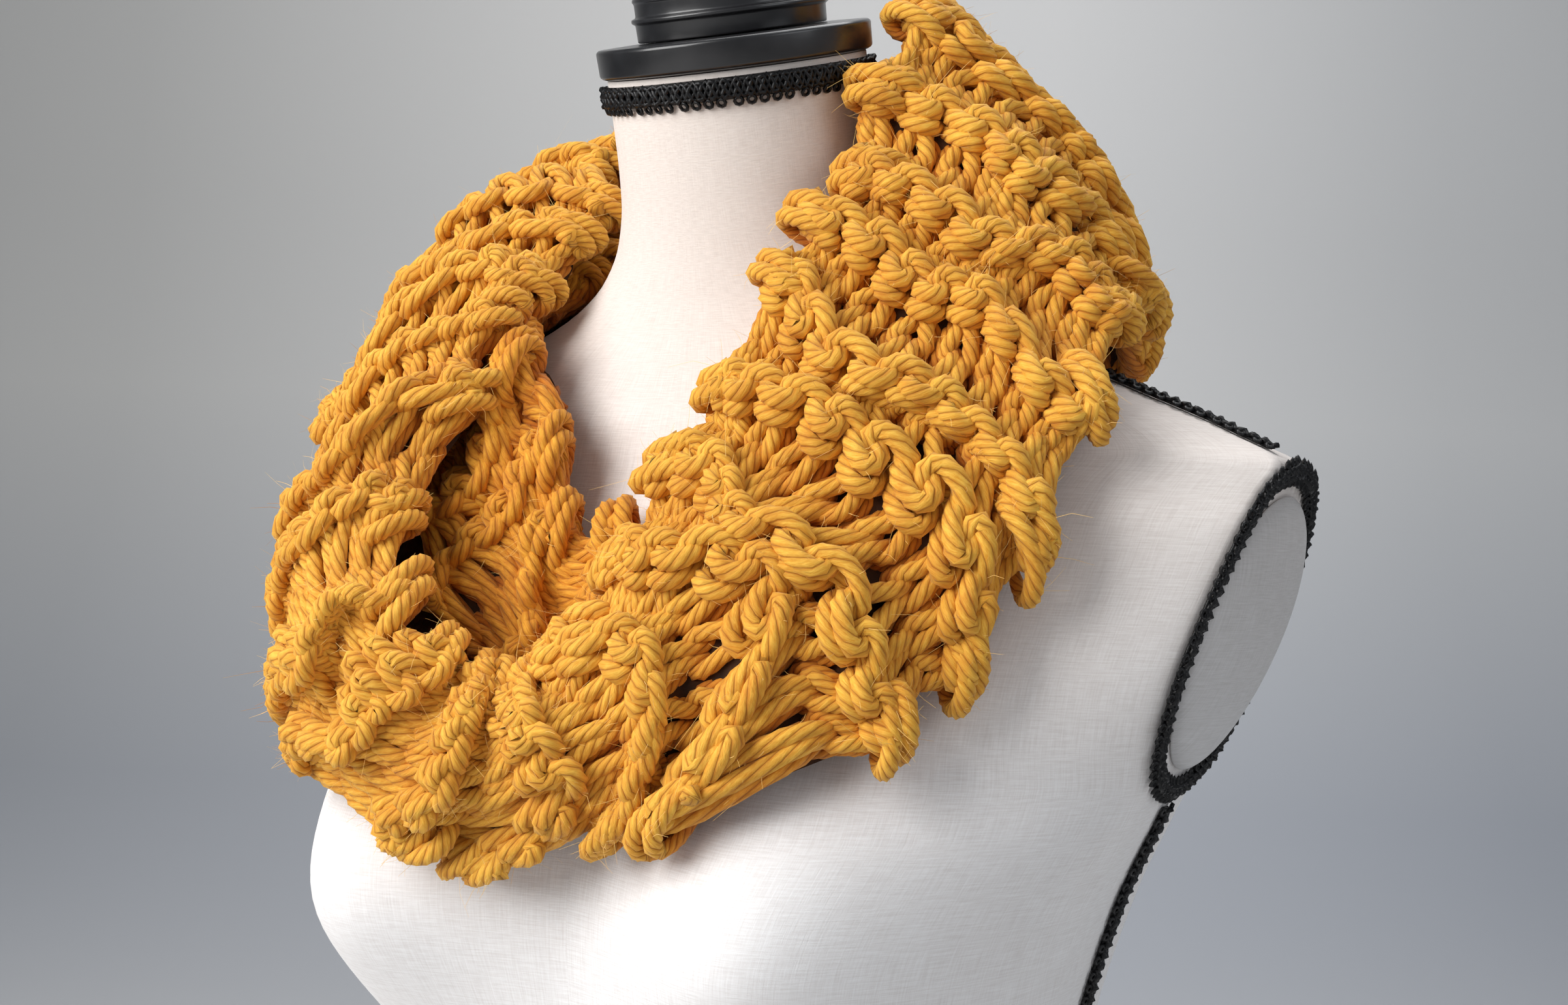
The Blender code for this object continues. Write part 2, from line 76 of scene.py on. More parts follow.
# ------------------------------------------------------------------ helpers
def smooth_table(rows, key, at, period=None):
    """The columns of a table at one value of its first column, by a monotone-ish cubic through the rows."""
    rows = np.asarray(rows, float)
    x, y = rows[:, 0], rows[:, 1:]
    if period:
        x = np.concatenate([x[-2:] - period, x, x[:2] + period])
        y = np.concatenate([y[-2:], y, y[:2]])
        at = (at - x[2]) % period + x[2]
    slope = np.zeros_like(y)
    step = np.diff(x)[:, None]
    rise = np.diff(y, axis=0) / step
    slope[1:-1] = np.where(
        rise[:-1] * rise[1:] > 0,
        2 * rise[:-1] * rise[1:] / np.where(rise[:-1] + rise[1:] == 0, 1, rise[:-1] + rise[1:]),
        0.0,
    )
    if key == "free":  # rounder than the flattened slopes
        slope[1:-1] = (y[2:] - y[:-2]) / (x[2:] - x[:-2])[:, None]
    slope[0], slope[-1] = rise[0], rise[-1]
    i = int(np.clip(np.searchsorted(x, at, side="right") - 1, 0, len(x) - 2))
    h = x[i + 1] - x[i]
    t = (at - x[i]) / h
    return (
        (2 * t**3 - 3 * t**2 + 1) * y[i]
        + (t**3 - 2 * t**2 + t) * h * slope[i]
        + (3 * t**2 - 2 * t**3) * y[i + 1]
        + (t**3 - t**2) * h * slope[i + 1]
    )


def tree_of(obj):
    mesh = obj.data
    mesh.calc_loop_triangles()
    return BVHTree.FromPolygons(
        [v.co / MM for v in mesh.vertices], [tuple(t.vertices) for t in mesh.loop_triangles]
    )


def mesh_object(name, points, quads, mat, attributes=None, uv=None, smooth=True, tris=None):
    """One mesh from arrays: points in millimetres, quads and triangles as rows of vertex numbers."""
    quads = np.asarray(quads, np.int64).reshape(-1, 4)
    tris = np.zeros((0, 3), np.int64) if tris is None else np.asarray(tris, np.int64).reshape(-1, 3)
    mesh = bpy.data.meshes.new(name)
    mesh.vertices.add(len(points))
    mesh.vertices.foreach_set("co", (np.asarray(points, float) * MM).astype(np.float32).ravel())
    loops = np.concatenate([quads.ravel(), tris.ravel()])
    mesh.loops.add(len(loops))
    mesh.loops.foreach_set("vertex_index", loops.astype(np.int32))
    starts = np.concatenate([np.arange(len(quads)) * 4, len(quads) * 4 + np.arange(len(tris)) * 3])
    mesh.polygons.add(len(starts))
    mesh.polygons.foreach_set("loop_start", starts.astype(np.int32))
    mesh.update(calc_edges=True)
    mesh.polygons.foreach_set("use_smooth", np.full(len(starts), smooth))
    if uv is not None:
        layer = mesh.uv_layers.new(name="weave")
        layer.data.foreach_set("uv", np.asarray(uv, np.float32).ravel())
    for key, values in (attributes or {}).items():
        layer = mesh.attributes.new(key, "FLOAT", "POINT")
        layer.data.foreach_set("value", np.asarray(values, np.float32))
    mesh.materials.append(mat)
    obj = bpy.data.objects.new(name, mesh)
    bpy.context.collection.objects.link(obj)
    return obj


def ringed(rings, around):
    """Quads for a stack of rings of vertex numbers (count, size). `around` joins the last ring to the first."""
    rings = np.asarray(rings)
    after = np.roll(rings, -1, 0)
    if not around:
        rings, after = rings[:-1], after[:-1]
    side = np.roll(rings, -1, 1)
    side_after = np.roll(after, -1, 1)
    return np.stack([rings, side, side_after, after], axis=-1).reshape(-1, 4)


def facing_out(points, quads):
    p = points - points.mean(axis=0)
    a, b, c, d = (p[quads[:, k]] for k in range(4))
    volume = (a * np.cross(b, c)).sum() + (a * np.cross(c, d)).sum()
    return quads if volume > 0 else quads[:, ::-1]


def frames_along(paths, first, closed):
    """Unit tangents and two cross directions for paths (many, count, 3), carried along without twisting."""
    ahead = np.roll(paths, -1, 1) - paths
    behind = paths - np.roll(paths, 1, 1)
    if not closed:
        ahead[:, -1] = behind[:, -1]
        behind[:, 0] = ahead[:, 0]
    tangent = ahead / np.linalg.norm(ahead, axis=2, keepdims=True)
    tangent = tangent + behind / np.linalg.norm(behind, axis=2, keepdims=True)
    tangent /= np.linalg.norm(tangent, axis=2, keepdims=True)
    across = np.zeros_like(paths)
    now = first - tangent[:, 0] * (first * tangent[:, 0]).sum(axis=1, keepdims=True)
    now /= np.linalg.norm(now, axis=1, keepdims=True)
    across[:, 0] = now
    for k in range(1, paths.shape[1]):
        now = now - tangent[:, k] * (now * tangent[:, k]).sum(axis=1, keepdims=True)
        now /= np.linalg.norm(now, axis=1, keepdims=True)
        across[:, k] = now
    other = np.cross(tangent, across)
    if closed:
        # the turn left over at the join is shared out along the path
        last = across[:, -1] - tangent[:, 0] * (across[:, -1] * tangent[:, 0]).sum(axis=1, keepdims=True)
        left = np.arctan2((last * other[:, 0]).sum(axis=1), (last * across[:, 0]).sum(axis=1))
        share = -left[:, None] * np.arange(paths.shape[1]) / paths.shape[1]
        c, s = np.cos(share)[..., None], np.sin(share)[..., None]
        across, other = across * c + other * s, other * c - across * s
    return tangent, across, other


def tubes(paths, radius, sides, closed=False, lobes=0, lobe_depth=0.0, lay=0.82, first=None):
    """Vertices, quads and facts of tubes along paths (many, count, 3). A lobed tube is a yarn whose plies wind round it; its vertices follow the plies."""
    many, count, _ = paths.shape
    if first is None:
        first = np.tile(np.array([0.3, 0.5, 0.81]), (many, 1))
    tangent, across, other = frames_along(paths, first, closed)
    step = np.linalg.norm(np.diff(paths, axis=1), axis=2)
    run = np.concatenate([np.zeros((many, 1)), np.cumsum(step, axis=1)], axis=1)
    turn = np.zeros_like(run)
    if lobes:
        turns = np.full((many, 1), count * lay / (2 * np.pi))
        if closed:
            turns = np.maximum(np.round(turns * lobes), 1) / lobes
        turn = -2 * np.pi * turns * np.arange(count) / count + rng.uniform(0, 2 * np.pi, (many, 1))
    angle = turn[..., None] + 2 * np.pi * np.arange(sides) / sides
    shape = np.ones(sides)
    if lobes:
        shape = 1 + lobe_depth * np.cos(lobes * 2 * np.pi * np.arange(sides) / sides)
    size = np.broadcast_to(np.asarray(radius, float), (many, count))[..., None] * shape
    a, b = np.cos(angle) * size, np.sin(angle) * size
    points = paths[:, :, None] + across[:, :, None] * a[..., None] + other[:, :, None] * b[..., None]
    number = np.arange(many * count * sides).reshape(many, count, sides)
    quads = np.concatenate([ringed(number[m], closed) for m in range(many)])
    shift = 0
    if closed and lobes:
        # the plies meet their own start a whole number of lobes on
        whole_turn = (-2 * np.pi * turns[:, 0]) % (2 * np.pi)
        per = sides // lobes
        fixed = []
        for m in range(many):
            shift = int(round(whole_turn[m] / (2 * np.pi) * lobes)) * per % sides
            body = ringed(number[m], False)
            end = np.stack([number[m, -1], np.roll(number[m, 0], shift)])
            fixed += [body, ringed(end, False)]
        quads = np.concatenate(fixed)
    if not closed:
        tris = []
        for m in range(many):
            for ring, turned in ((number[m, 0], True), (number[m, -1], False)):
                fan = np.stack([np.full(sides - 2, ring[0]), ring[1:-1], ring[2:]], axis=1)
                tris.append(fan[:, ::-1] if turned else fan)
        tris = np.concatenate(tris)
    else:
        tris = np.zeros((0, 3), int)
    flat = points.reshape(-1, 3)
    lobe = np.tile(np.cos(lobes * 2 * np.pi * np.arange(sides) / sides) * 0.5 + 0.5 if lobes else np.ones(sides), many * count)
    length = np.repeat(run.reshape(-1), sides)
    which = np.repeat(np.arange(many), count * sides)
    return flat, quads, tris, lobe, length, which, (tangent, across, other)


FORM = [
    # z      yc    lean  side  full   front  back  round
    (-560.0, 2.0, 0.0, 156.0, 1.010, 100.0, 108.0, 2.25),
    (-505.0, 2.0, 0.0, 167.0, 1.010, 107.0, 118.0, 2.25),
    (-440.0, 2.0, 0.0, 158.0, 1.010, 105.0, 110.0, 2.2),
    (-380.0, 2.0, 0.0, 134.0, 1.010, 98.0, 90.0, 2.15),
    (-325.0, 3.0, 0.0, 119.0, 1.010, 93.0, 77.0, 2.1),
    (-260.0, 4.0, 0.0, 123.0, 1.010, 101.0, 79.0, 2.1),
    (-194.0, 6.0, 0.0, 137.0, 1.010, 116.0, 88.0, 2.35),
    (-157.0, 8.0, 0.0, 147.5, 1.012, 121.0, 93.0, 2.4),
    (-128.0, 9.0, 0.0, 160.0, 1.012, 118.0, 95.0, 2.35),
    (-112.0, 10.0, 0.0, 167.0, 1.022, 114.0, 95.0, 2.2),
    (-95.0, 11.0, 0.0, 173.0, 1.060, 109.0, 95.0, 2.2),
    (-70.0, 12.0, 0.0, 181.7, 1.120, 102.0, 94.0, 2.2),
    (-45.0, 12.0, 0.0, 190.4, 1.140, 93.0, 88.0, 2.15),
    (-25.0, 10.0, 0.0, 197.5, 1.145, 84.0, 80.0, 2.05),
    (-12.0, 7.0, 0.0, 202.0, 1.100, 77.0, 74.0, 1.95),
    (-3.0, 4.0, 0.0, 205.0, 1.050, 72.0, 70.0, 1.88),
    (8.0, 2.0, 0.0, 186.0, 1.012, 68.0, 67.0, 1.82),
    (22.0, 2.0, 0.5, 153.0, 1.010, 64.5, 63.0, 1.8),
    (38.0, 2.0, 2.0, 115.0, 1.010, 61.5, 59.0, 1.82),
    (52.0, 0.5, 4.0, 84.0, 1.010, 58.5, 56.0, 1.9),
    (66.0, -3.5, 7.0, 65.0, 1.010, 55.0, 53.0, 1.97),
    (82.0, -9.2, 11.0, 54.5, 1.010, 51.5, 50.5, 2.0),
    (100.0, -15.5, 15.0, 50.0, 1.008, 49.6, 49.6, 2.0),
    (120.0, -22.3, 18.2, 48.9, 1.006, 48.9, 48.9, 2.0),
    (143.2, -30.0, 18.2, 48.7, 1.006, 48.7, 48.7, 2.0),
]
BUST = dict(x=87.0, z=-162.0, rise=45.0, wide=55.0, above=62.0, below=52.0)
FRONT_COLUMNS, FLAT_COLUMNS, BACK_COLUMNS = 44, 8, 26


def form_section(z):
    """One closed section of the form, anticlockwise from above, from the front centre towards +X."""
    yc, lean, side, full, front, back, power = smooth_table(FORM, "flat", z)
    wide = side * full
    corner = math.asin(min(1.0, (side / wide) ** (power / 2)))
    a = corner * np.arange(FRONT_COLUMNS) / (FRONT_COLUMNS - 1)
    x = wide * np.sin(a) ** (2 / power)
    y = -front * np.cos(a) ** (2 / power)
    back_y = back * math.cos(corner) ** (2 / power)
    f = np.arange(1, FLAT_COLUMNS) / FLAT_COLUMNS
    b = corner * (1 - np.arange(BACK_COLUMNS) / (BACK_COLUMNS - 1))
    x = np.concatenate([x, np.full(FLAT_COLUMNS - 1, side), wide * np.sin(b) ** (2 / power)])
    y = np.concatenate([y, y[-1] + (back_y - y[-1]) * f, back * np.cos(b) ** (2 / power)])
    x = np.concatenate([x, -x[-2:0:-1]])
    y = np.concatenate([y, y[-2:0:-1]])
    rise = z - BUST["z"]
    tall = BUST["above"] if rise > 0 else BUST["below"]
    bump = BUST["rise"] * np.exp(-(((np.abs(x) - BUST["x"]) / BUST["wide"]) ** 2) - (rise / tall) ** 2)
    y = np.where(y < 0, y - bump * np.minimum(1.0, -y / 40), y)
    tilt = math.radians(lean)
    return np.stack([x, yc + y * math.cos(tilt), SHOULDER + z + y * math.sin(tilt)], axis=1)


# ------------------------------------------------------------------ materials
def new_material(name):
    mat = bpy.data.materials.new(name)
    mat.use_nodes = True
    tree = mat.node_tree
    return mat, tree, tree.nodes["Principled BSDF"]


def node(tree, kind, **settings):
    made = tree.nodes.new(kind)
    for key, value in settings.items():
        setattr(made, key, value)
    return made


def mapped(tree, source, scale):
    move = node(tree, "ShaderNodeMapping")
    move.inputs["Scale"].default_value = scale
    tree.links.new(source, move.inputs["Vector"])
    return move.outputs["Vector"]


def noise(tree, vector, scale, detail=3.0, rough=0.55):
    made = node(tree, "ShaderNodeTexNoise")
    made.inputs["Scale"].default_value = scale
    made.inputs["Detail"].default_value = detail
    made.inputs["Roughness"].default_value = rough
    tree.links.new(vector, made.inputs["Vector"])
    return made.outputs["Fac"]


def ramp(tree, source, stops):
    made = node(tree, "ShaderNodeValToRGB")
    bar = made.color_ramp
    while len(bar.elements) < len(stops):
        bar.elements.new(0.5)
    for element, (at, colour) in zip(bar.elements, stops):
        element.position = at
        element.color = (*colour, 1)
    tree.links.new(source, made.inputs["Fac"])
    return made.outputs["Color"]


def blend(tree, kind, factor, a, b):
    made = node(tree, "ShaderNodeMix", data_type="RGBA", blend_type=kind)
    for socket, value in ((0, factor), (6, a), (7, b)):
        if hasattr(value, "is_linked"):
            tree.links.new(value, made.inputs[socket])
        else:
            made.inputs[socket].default_value = value
    return made.outputs[2]


def maths(tree, kind, a, b=None, clamp=False):
    made = node(tree, "ShaderNodeMath", operation=kind, use_clamp=clamp)
    for socket, value in ((0, a), (1, b)):
        if value is None:
            continue
        if hasattr(value, "is_linked"):
            tree.links.new(value, made.inputs[socket])
        else:
            made.inputs[socket].default_value = value
    return made.outputs[0]


def bump(tree, bsdf, height, strength, distance):
    made = node(tree, "ShaderNodeBump")
    made.inputs["Strength"].default_value = strength
    made.inputs["Distance"].default_value = distance
    tree.links.new(height, made.inputs["Height"])
    tree.links.new(made.outputs["Normal"], bsdf.inputs["Normal"])


def yarn_material(name, bright, deep, shade):
    """Soft roving yarn: fine fibres along each ply, with painted shade, warmer and darker, between the plies and down
    in the fabric.
    """
    mat, tree, bsdf = new_material(name)
    where = node(tree, "ShaderNodeTexCoord")
    uv = node(tree, "ShaderNodeUVMap", uv_map="weave").outputs["UV"]
    sunk_shade_mask = node(tree, "ShaderNodeAttribute", attribute_name="sunk_shade").outputs["Fac"]
    fibre = noise(tree, mapped(tree, uv, (26.0, 0.35, 1.0)), 1.0, 4.0, 0.6)
    split = node(tree, "ShaderNodeSeparateXYZ")
    tree.links.new(uv, split.inputs[0])
    ply = maths(tree, "ABSOLUTE", maths(tree, "COSINE", maths(tree, "MULTIPLY", split.outputs["X"], PLIES * math.pi)))
    ply = maths(tree, "POWER", ply, 0.45)
    cloud = noise(tree, where.outputs["Object"], 95.0, 2.0)
    patch = noise(tree, where.outputs["Object"], 28.0, 2.0)
    base = ramp(tree, fibre, [(0.30, deep), (0.62, bright)])
    # painted shade: between the plies the colour turns to the `shade` colour
    painted_groove_shade = ply
    base = blend(tree, "MIX", painted_groove_shade, (*shade, 1), base)
    tint = ramp(tree, cloud, [(0.33, (0.80, 0.66, 0.50)), (0.62, (1, 1, 1))])
    base = blend(tree, "MULTIPLY", 0.75, base, tint)
    tint = ramp(tree, patch, [(0.35, (0.90, 0.80, 0.66)), (0.6, (1, 1, 1))])
    base = blend(tree, "MULTIPLY", 0.7, base, tint)
    # painted shade: yarn that lies low in the fabric is darkened and warmed by its depth
    low = ramp(tree, sunk_shade_mask, [(0.0, (1, 1, 1)), (0.38, (0.84, 0.61, 0.39)), (1.0, (0.44, 0.21, 0.085))])
    base = blend(tree, "MULTIPLY", 1.0, base, low)
    tree.links.new(base, bsdf.inputs["Base Color"])
    bsdf.inputs["Roughness"].default_value = 0.72
    bsdf.inputs["Specular IOR Level"].default_value = 0.32
    bsdf.inputs["Sheen Weight"].default_value = 0.22
    bsdf.inputs["Sheen Roughness"].default_value = 0.45
    bsdf.inputs["Sheen Tint"].default_value = (1.0, 0.82, 0.45, 1)
    fine = noise(tree, mapped(tree, uv, (60.0, 0.7, 1.0)), 1.0, 3.0, 0.65)
    height = maths(tree, "ADD", maths(tree, "MULTIPLY", ply, 1.5), maths(tree, "ADD", maths(tree, "MULTIPLY", fibre, 0.9), maths(tree, "MULTIPLY", fine, 0.6)))
    bump(tree, bsdf, height, 0.7, 0.0005)
    return mat


PLIES = 5
mustard = yarn_material("mustard_roving_yarn", (0.97, 0.575, 0.085), (0.79, 0.345, 0.022), (0.47, 0.145, 0.006))
# painted shade: a darker copy of the same yarn for the inner wrap, which lies in the outer wrap's shade
mustard_shaded_in = yarn_material("mustard_roving_yarn_inner_shaded", (0.92, 0.46, 0.045), (0.68, 0.25, 0.012), (0.40, 0.11, 0.004))


# painted shade: a near-black sheet just under the middle of each wrap, seen as the shade in the gaps between stitches
def shade_ground_material():
    mat, tree, bsdf = new_material("scarf_shade_ground")
    where = node(tree, "ShaderNodeTexCoord").outputs["Object"]
    grain = noise(tree, where, 160.0, 4.0)
    tree.links.new(ramp(tree, grain, [(0.3, (0.016, 0.005, 0.001)), (0.7, (0.055, 0.018, 0.003))]), bsdf.inputs["Base Color"])
    bsdf.inputs["Roughness"].default_value = 0.95
    bump(tree, bsdf, grain, 0.8, 0.002)
    return mat


def fuzz_material():
    mat, tree, bsdf = new_material("loose_fibres")
    where = node(tree, "ShaderNodeTexCoord").outputs["Object"]
    grain = noise(tree, where, 60.0, 2.0)
    tree.links.new(ramp(tree, grain, [(0.3, (0.80, 0.44, 0.09)), (0.7, (0.95, 0.66, 0.22))]), bsdf.inputs["Base Color"])
    bsdf.inputs["Roughness"].default_value = 0.8
    bsdf.inputs["Sheen Weight"].default_value = 0.3
    return mat


def linen_material(name, light, dark, warm, weave=1.0):
    """Bleached plain-weave linen: thick and thin threads both ways, faintly warm, with painted warm light higher up."""
    mat, tree, bsdf = new_material(name)
    uv = node(tree, "ShaderNodeUVMap", uv_map="weave").outputs["UV"]
    where = node(tree, "ShaderNodeTexCoord").outputs["Object"]
    weft = noise(tree, mapped(tree, uv, (0.09, 1.9, 1.0)), 1.0, 3.0, 0.7)
    warp = noise(tree, mapped(tree, uv, (1.9, 0.07, 1.0)), 1.0, 3.0, 0.7)
    tone = noise(tree, where, 9.0, 2.0)
    threads = maths(tree, "ADD", maths(tree, "MULTIPLY", weft, 0.55), maths(tree, "MULTIPLY", warp, 0.45))
    base = ramp(tree, threads, [(0.36, dark), (0.60, light)])
    base = blend(tree, "MULTIPLY", 1.0, base, ramp(tree, tone, [(0.3, warm), (0.7, (1, 1, 1))]))
    split = node(tree, "ShaderNodeSeparateXYZ")
    tree.links.new(where, split.inputs[0])
    # painted light: warm light bounced from the scarf, the linen darker and warmer from the chest up and faintly cooler
    # below
    painted_warm_bounce = ramp(tree, split.outputs["Z"], [(0.44, (0.975, 0.985, 1.0)), (0.60, (0.90, 0.845, 0.80))])
    base = blend(tree, "MULTIPLY", 1.0, base, painted_warm_bounce)
    tree.links.new(base, bsdf.inputs["Base Color"])
    bsdf.inputs["Roughness"].default_value = 0.88
    bsdf.inputs["Specular IOR Level"].default_value = 0.25
    bsdf.inputs["Sheen Weight"].default_value = 0.12
    bump(tree, bsdf, threads, 0.35 * weave, 0.0006)
    return mat


linen = linen_material("bleached_linen", (0.93, 0.915, 0.905), (0.78, 0.745, 0.725), (0.975, 0.96, 0.95))
# painted shade: a grey copy of the same linen for the arm plates, which face away from the light
plate_linen = linen_material("arm_plate_linen", (0.66, 0.66, 0.665), (0.54, 0.535, 0.53), (0.97, 0.96, 0.96))


def wood_material():
    mat, tree, bsdf = new_material("black_lacquered_wood")
    where = node(tree, "ShaderNodeTexCoord").outputs["Object"]
    grain = noise(tree, mapped(tree, where, (30.0, 30.0, 220.0)), 1.0, 4.0, 0.6)
    cloud = noise(tree, where, 45.0, 3.0)
    tree.links.new(ramp(tree, cloud, [(0.3, (0.006, 0.006, 0.007)), (0.75, (0.020, 0.020, 0.022))]), bsdf.inputs["Base Color"])
    rough = node(tree, "ShaderNodeMapRange")
    rough.inputs["To Min"].default_value = 0.22
    rough.inputs["To Max"].default_value = 0.42
    tree.links.new(cloud, rough.inputs["Value"])
    tree.links.new(rough.outputs["Result"], bsdf.inputs["Roughness"])
    bsdf.inputs["Coat Weight"].default_value = 0.35
    bsdf.inputs["Coat Roughness"].default_value = 0.18
    bump(tree, bsdf, grain, 0.12, 0.0005)
    return mat


def gimp_material():
    mat, tree, bsdf = new_material("black_gimp_cord")
    where = node(tree, "ShaderNodeTexCoord").outputs["Object"]
    grain = noise(tree, where, 900.0, 2.0)
    tree.links.new(ramp(tree, grain, [(0.3, (0.0015, 0.0015, 0.002)), (0.7, (0.009, 0.009, 0.010))]), bsdf.inputs["Base Color"])
    bsdf.inputs["Roughness"].default_value = 0.38
    bsdf.inputs["Specular IOR Level"].default_value = 0.3
    bump(tree, bsdf, grain, 0.5, 0.0003)
    return mat


black_wood = wood_material()
gimp = gimp_material()
shade_ground = shade_ground_material()
fuzz = fuzz_material()

# ------------------------------------------------------------------ dress form
levels = np.concatenate(
    [
        np.linspace(-560, -330, 26),
        np.linspace(-322, -120, 40),
        np.linspace(-116, -14, 34),
        np.linspace(-12, 22, 18),
        np.linspace(25, 143.2, 34),
    ]
)
rings = np.array([form_section(z) for z in levels])
count, size = rings.shape[:2]
girth = np.linalg.norm(np.roll(rings, -1, 1) - rings, axis=2)
around = np.concatenate([np.zeros((count, 1)), np.cumsum(girth, axis=1)], axis=1)
number = np.arange(count * size).reshape(count, size)
quads = ringed(number, False)
form_points = rings.reshape(-1, 3)
ordered = facing_out(form_points, quads)
flipped = ordered is not quads
level_of = np.arange(count * size) // size
column_of = np.arange(count * size) % size
rows = level_of[quads]
cols = column_of[quads]
cols = np.where((cols == 0) & (cols.max(axis=1, keepdims=True) > 1), size, cols)
mean_around = around[count // 2]
uv = np.stack([mean_around[cols], levels[rows]], axis=-1)
if flipped:
    uv = uv[:, ::-1]
ends = []
for ring, low in ((number[0], True), (number[-1], False)):
    fan = np.stack([np.full(size - 2, ring[0]), ring[1:-1], ring[2:]], axis=1)
    ends.append(fan[:, ::-1] if low != flipped else fan)
ends = np.concatenate(ends)
uv = np.concatenate([uv.reshape(-1, 2), form_points[ends.ravel()][:, :2]])
form = mesh_object("linen_form", form_points, ordered, linen, uv=uv, tris=ends)
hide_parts("dress_form")
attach(form, "root")
form_tree = tree_of(form)


def clear_of_form(point, distance):
    """The point, moved straight out from the form until it is at least this far from it."""
    p = Vector(point)
    for _ in range(4):
        near, normal, _, _ = form_tree.find_nearest(p)
        away = p - near
        out = away.dot(normal) > 0
        gap = away.length if out else -away.length
        if gap >= distance - 1e-3:
            break
        aim = normal if away.length < 0.5 or not out else away.normalized()
        p = near + aim * distance
    return np.array(p)


def on_form(point, height):
    """The nearest point of the form's surface, raised along its normal, and that normal."""
    near, normal, _, _ = form_tree.find_nearest(Vector(point))
    return np.array(near + normal * height), np.array(normal)


# ------------------------------------------------------------------ neck cap
NECK_TOP = np.array([0.0, -30.0, SHOULDER + 143.2])
LEAN = math.radians(18.2)
# height above the neck's top face, radius
CAP_DISC = [(0.4, 0.0), (0.4, 49.8), (1.4, 51.5), (10.4, 51.8), (11.4, 50.8), (11.8, 40.0), (11.8, 0.0)]
CAP_STEPS = [
    (12.15, 0.0),
    (12.15, 35.6),
    (18.8, 35.8),
    (19.4, 37.1),
    (20.8, 37.1),
    (21.4, 35.4),
    (26.2, 35.4),
    (26.9, 36.0),
    (28.1, 35.8),
    (28.8, 33.8),
    (34.0, 33.4),
    (36.0, 31.8),
    (37.6, 27.0),
    (38.6, 16.0),
    (39.0, 0.0),
]


def rounded(profile, size, steps=3):
    """The profile with each inner corner cut to a small arc."""
    pts = [np.array([r, h]) for h, r in profile]
    out = [pts[0]]
    for before, at, after in zip(pts, pts[1:], pts[2:]):
        a, b = before - at, after - at
        la, lb = np.linalg.norm(a), np.linalg.norm(b)
        cut = min(size, 0.4 * la, 0.4 * lb)
        p, q = at + a / la * cut, at + b / lb * cut
        for t in np.linspace(0, 1, steps + 1):
            out.append((1 - t) ** 2 * p + 2 * t * (1 - t) * at + t * t * q)
    out.append(pts[-1])
    return out


def turned(name, profile, size, cad_node, steps=144):
    outline = rounded(profile, size)
    angle = 2 * np.pi * np.arange(steps) / steps
    out_x, out_y = np.cos(angle), np.sin(angle)
    lean = np.array([[1, 0, 0], [0, math.cos(LEAN), -math.sin(LEAN)], [0, math.sin(LEAN), math.cos(LEAN)]])
    pts = [[0, 0, outline[0][1]]]
    for r, h in outline[1:-1]:
        pts += list(np.stack([r * out_x, r * out_y, np.full(steps, h)], axis=1))
    pts.append([0, 0, outline[-1][1]])
    pts = np.array(pts) @ lean.T + NECK_TOP
    number = 1 + np.arange(steps * (len(outline) - 2)).reshape(-1, steps)
    quads = ringed(number, False)
    ring = number[0]
    low = np.stack([np.zeros(steps, int), np.roll(ring, -1), ring], axis=1)
    ring = number[-1]
    high = np.stack([np.full(steps, len(pts) - 1), ring, np.roll(ring, -1)], axis=1)
    obj = mesh_object(name, pts, quads, black_wood, tris=np.concatenate([low, high]))
    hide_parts(cad_node)
    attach(obj, "root")
    return obj


turned("cap_disc", CAP_DISC, 0.9, "neck_cap_disc")
turned("cap_steps", CAP_STEPS, 0.8, "neck_cap_steps")

# ------------------------------------------------------------------ arm plates
GAP = 0.35
PLATE_INSET = 0.85


def arm_plate(name, sign):
    flat = [z for z in levels if -112 < z < -8]
    sections = [form_section(z) for z in flat]
    corner_front = np.array([s[FRONT_COLUMNS - 1] for s in sections])
    corner_back = np.array([s[FRONT_COLUMNS - 1 + FLAT_COLUMNS] for s in sections])
    outline = np.concatenate([corner_front, corner_back[::-1]])
    cad_low, cad_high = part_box(f"arm_plate_{name}")
    up = corner_front[-1] - corner_front[0]
    up = np.array([up[0], 0, up[2]])
    up /= np.linalg.norm(up)
    side = np.array([0.0, 1.0, 0.0])
    out = np.cross(side, up)
    out *= np.sign(out[0])
    centre = outline.mean(axis=0)
    rel = outline - centre
    half_up = (rel @ up).max() * PLATE_INSET + 4
    half_side = (rel @ side).max() * PLATE_INSET
    cad_mid = (cad_low + cad_high) / 2
    # the fine plate keeps the place of the solid it stands for
    profile = [(1.05, 0.0), (1.055, 0.3)]
    profile += [(math.cos(a) * 1.05, 0.4 + 11.4 * math.sin(a) ** 1.15) for a in np.linspace(0.06, 1.5, 17)]
    rings = []
    for share, height in profile:
        a = 2 * np.pi * np.arange(96) / 96
        p = (
            centre
            + up * (half_up * share * np.cos(a))[:, None]
            + side * (half_side * share * np.sin(a) * (1 + 0.10 * np.cos(a)))[:, None]
            + out * (GAP + height)
        )
        p[:, 0] *= sign
        rings.append(p)
    rings = np.array(rings)
    pts = rings.reshape(-1, 3)
    made_mid = (pts.max(axis=0) + pts.min(axis=0)) / 2
    pts[:, 1:] += np.array(cad_mid)[1:] / MM - made_mid[1:]
    number = np.arange(len(pts)).reshape(len(rings), -1)
    quads = facing_out(pts, ringed(number, False))
    flipped = quads[0, 0] != 0
    ring = number[0]
    low = np.stack([np.full(94, ring[0]), ring[2:], ring[1:-1]], axis=1)
    ring = number[-1]
    high = np.stack([np.full(94, ring[0]), ring[1:-1], ring[2:]], axis=1)
    tris = np.concatenate([low, high])
    tris = tris[:, ::-1] if flipped else tris
    uv = np.concatenate([pts[quads.ravel()][:, 1:], pts[tris.ravel()][:, 1:]])
    obj = mesh_object(f"plate_{name}", pts, quads, plate_linen, uv=uv, tris=tris)
    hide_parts(f"arm_plate_{name}")
    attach(obj, "root")


arm_plate("left", 1)
arm_plate("right", -1)

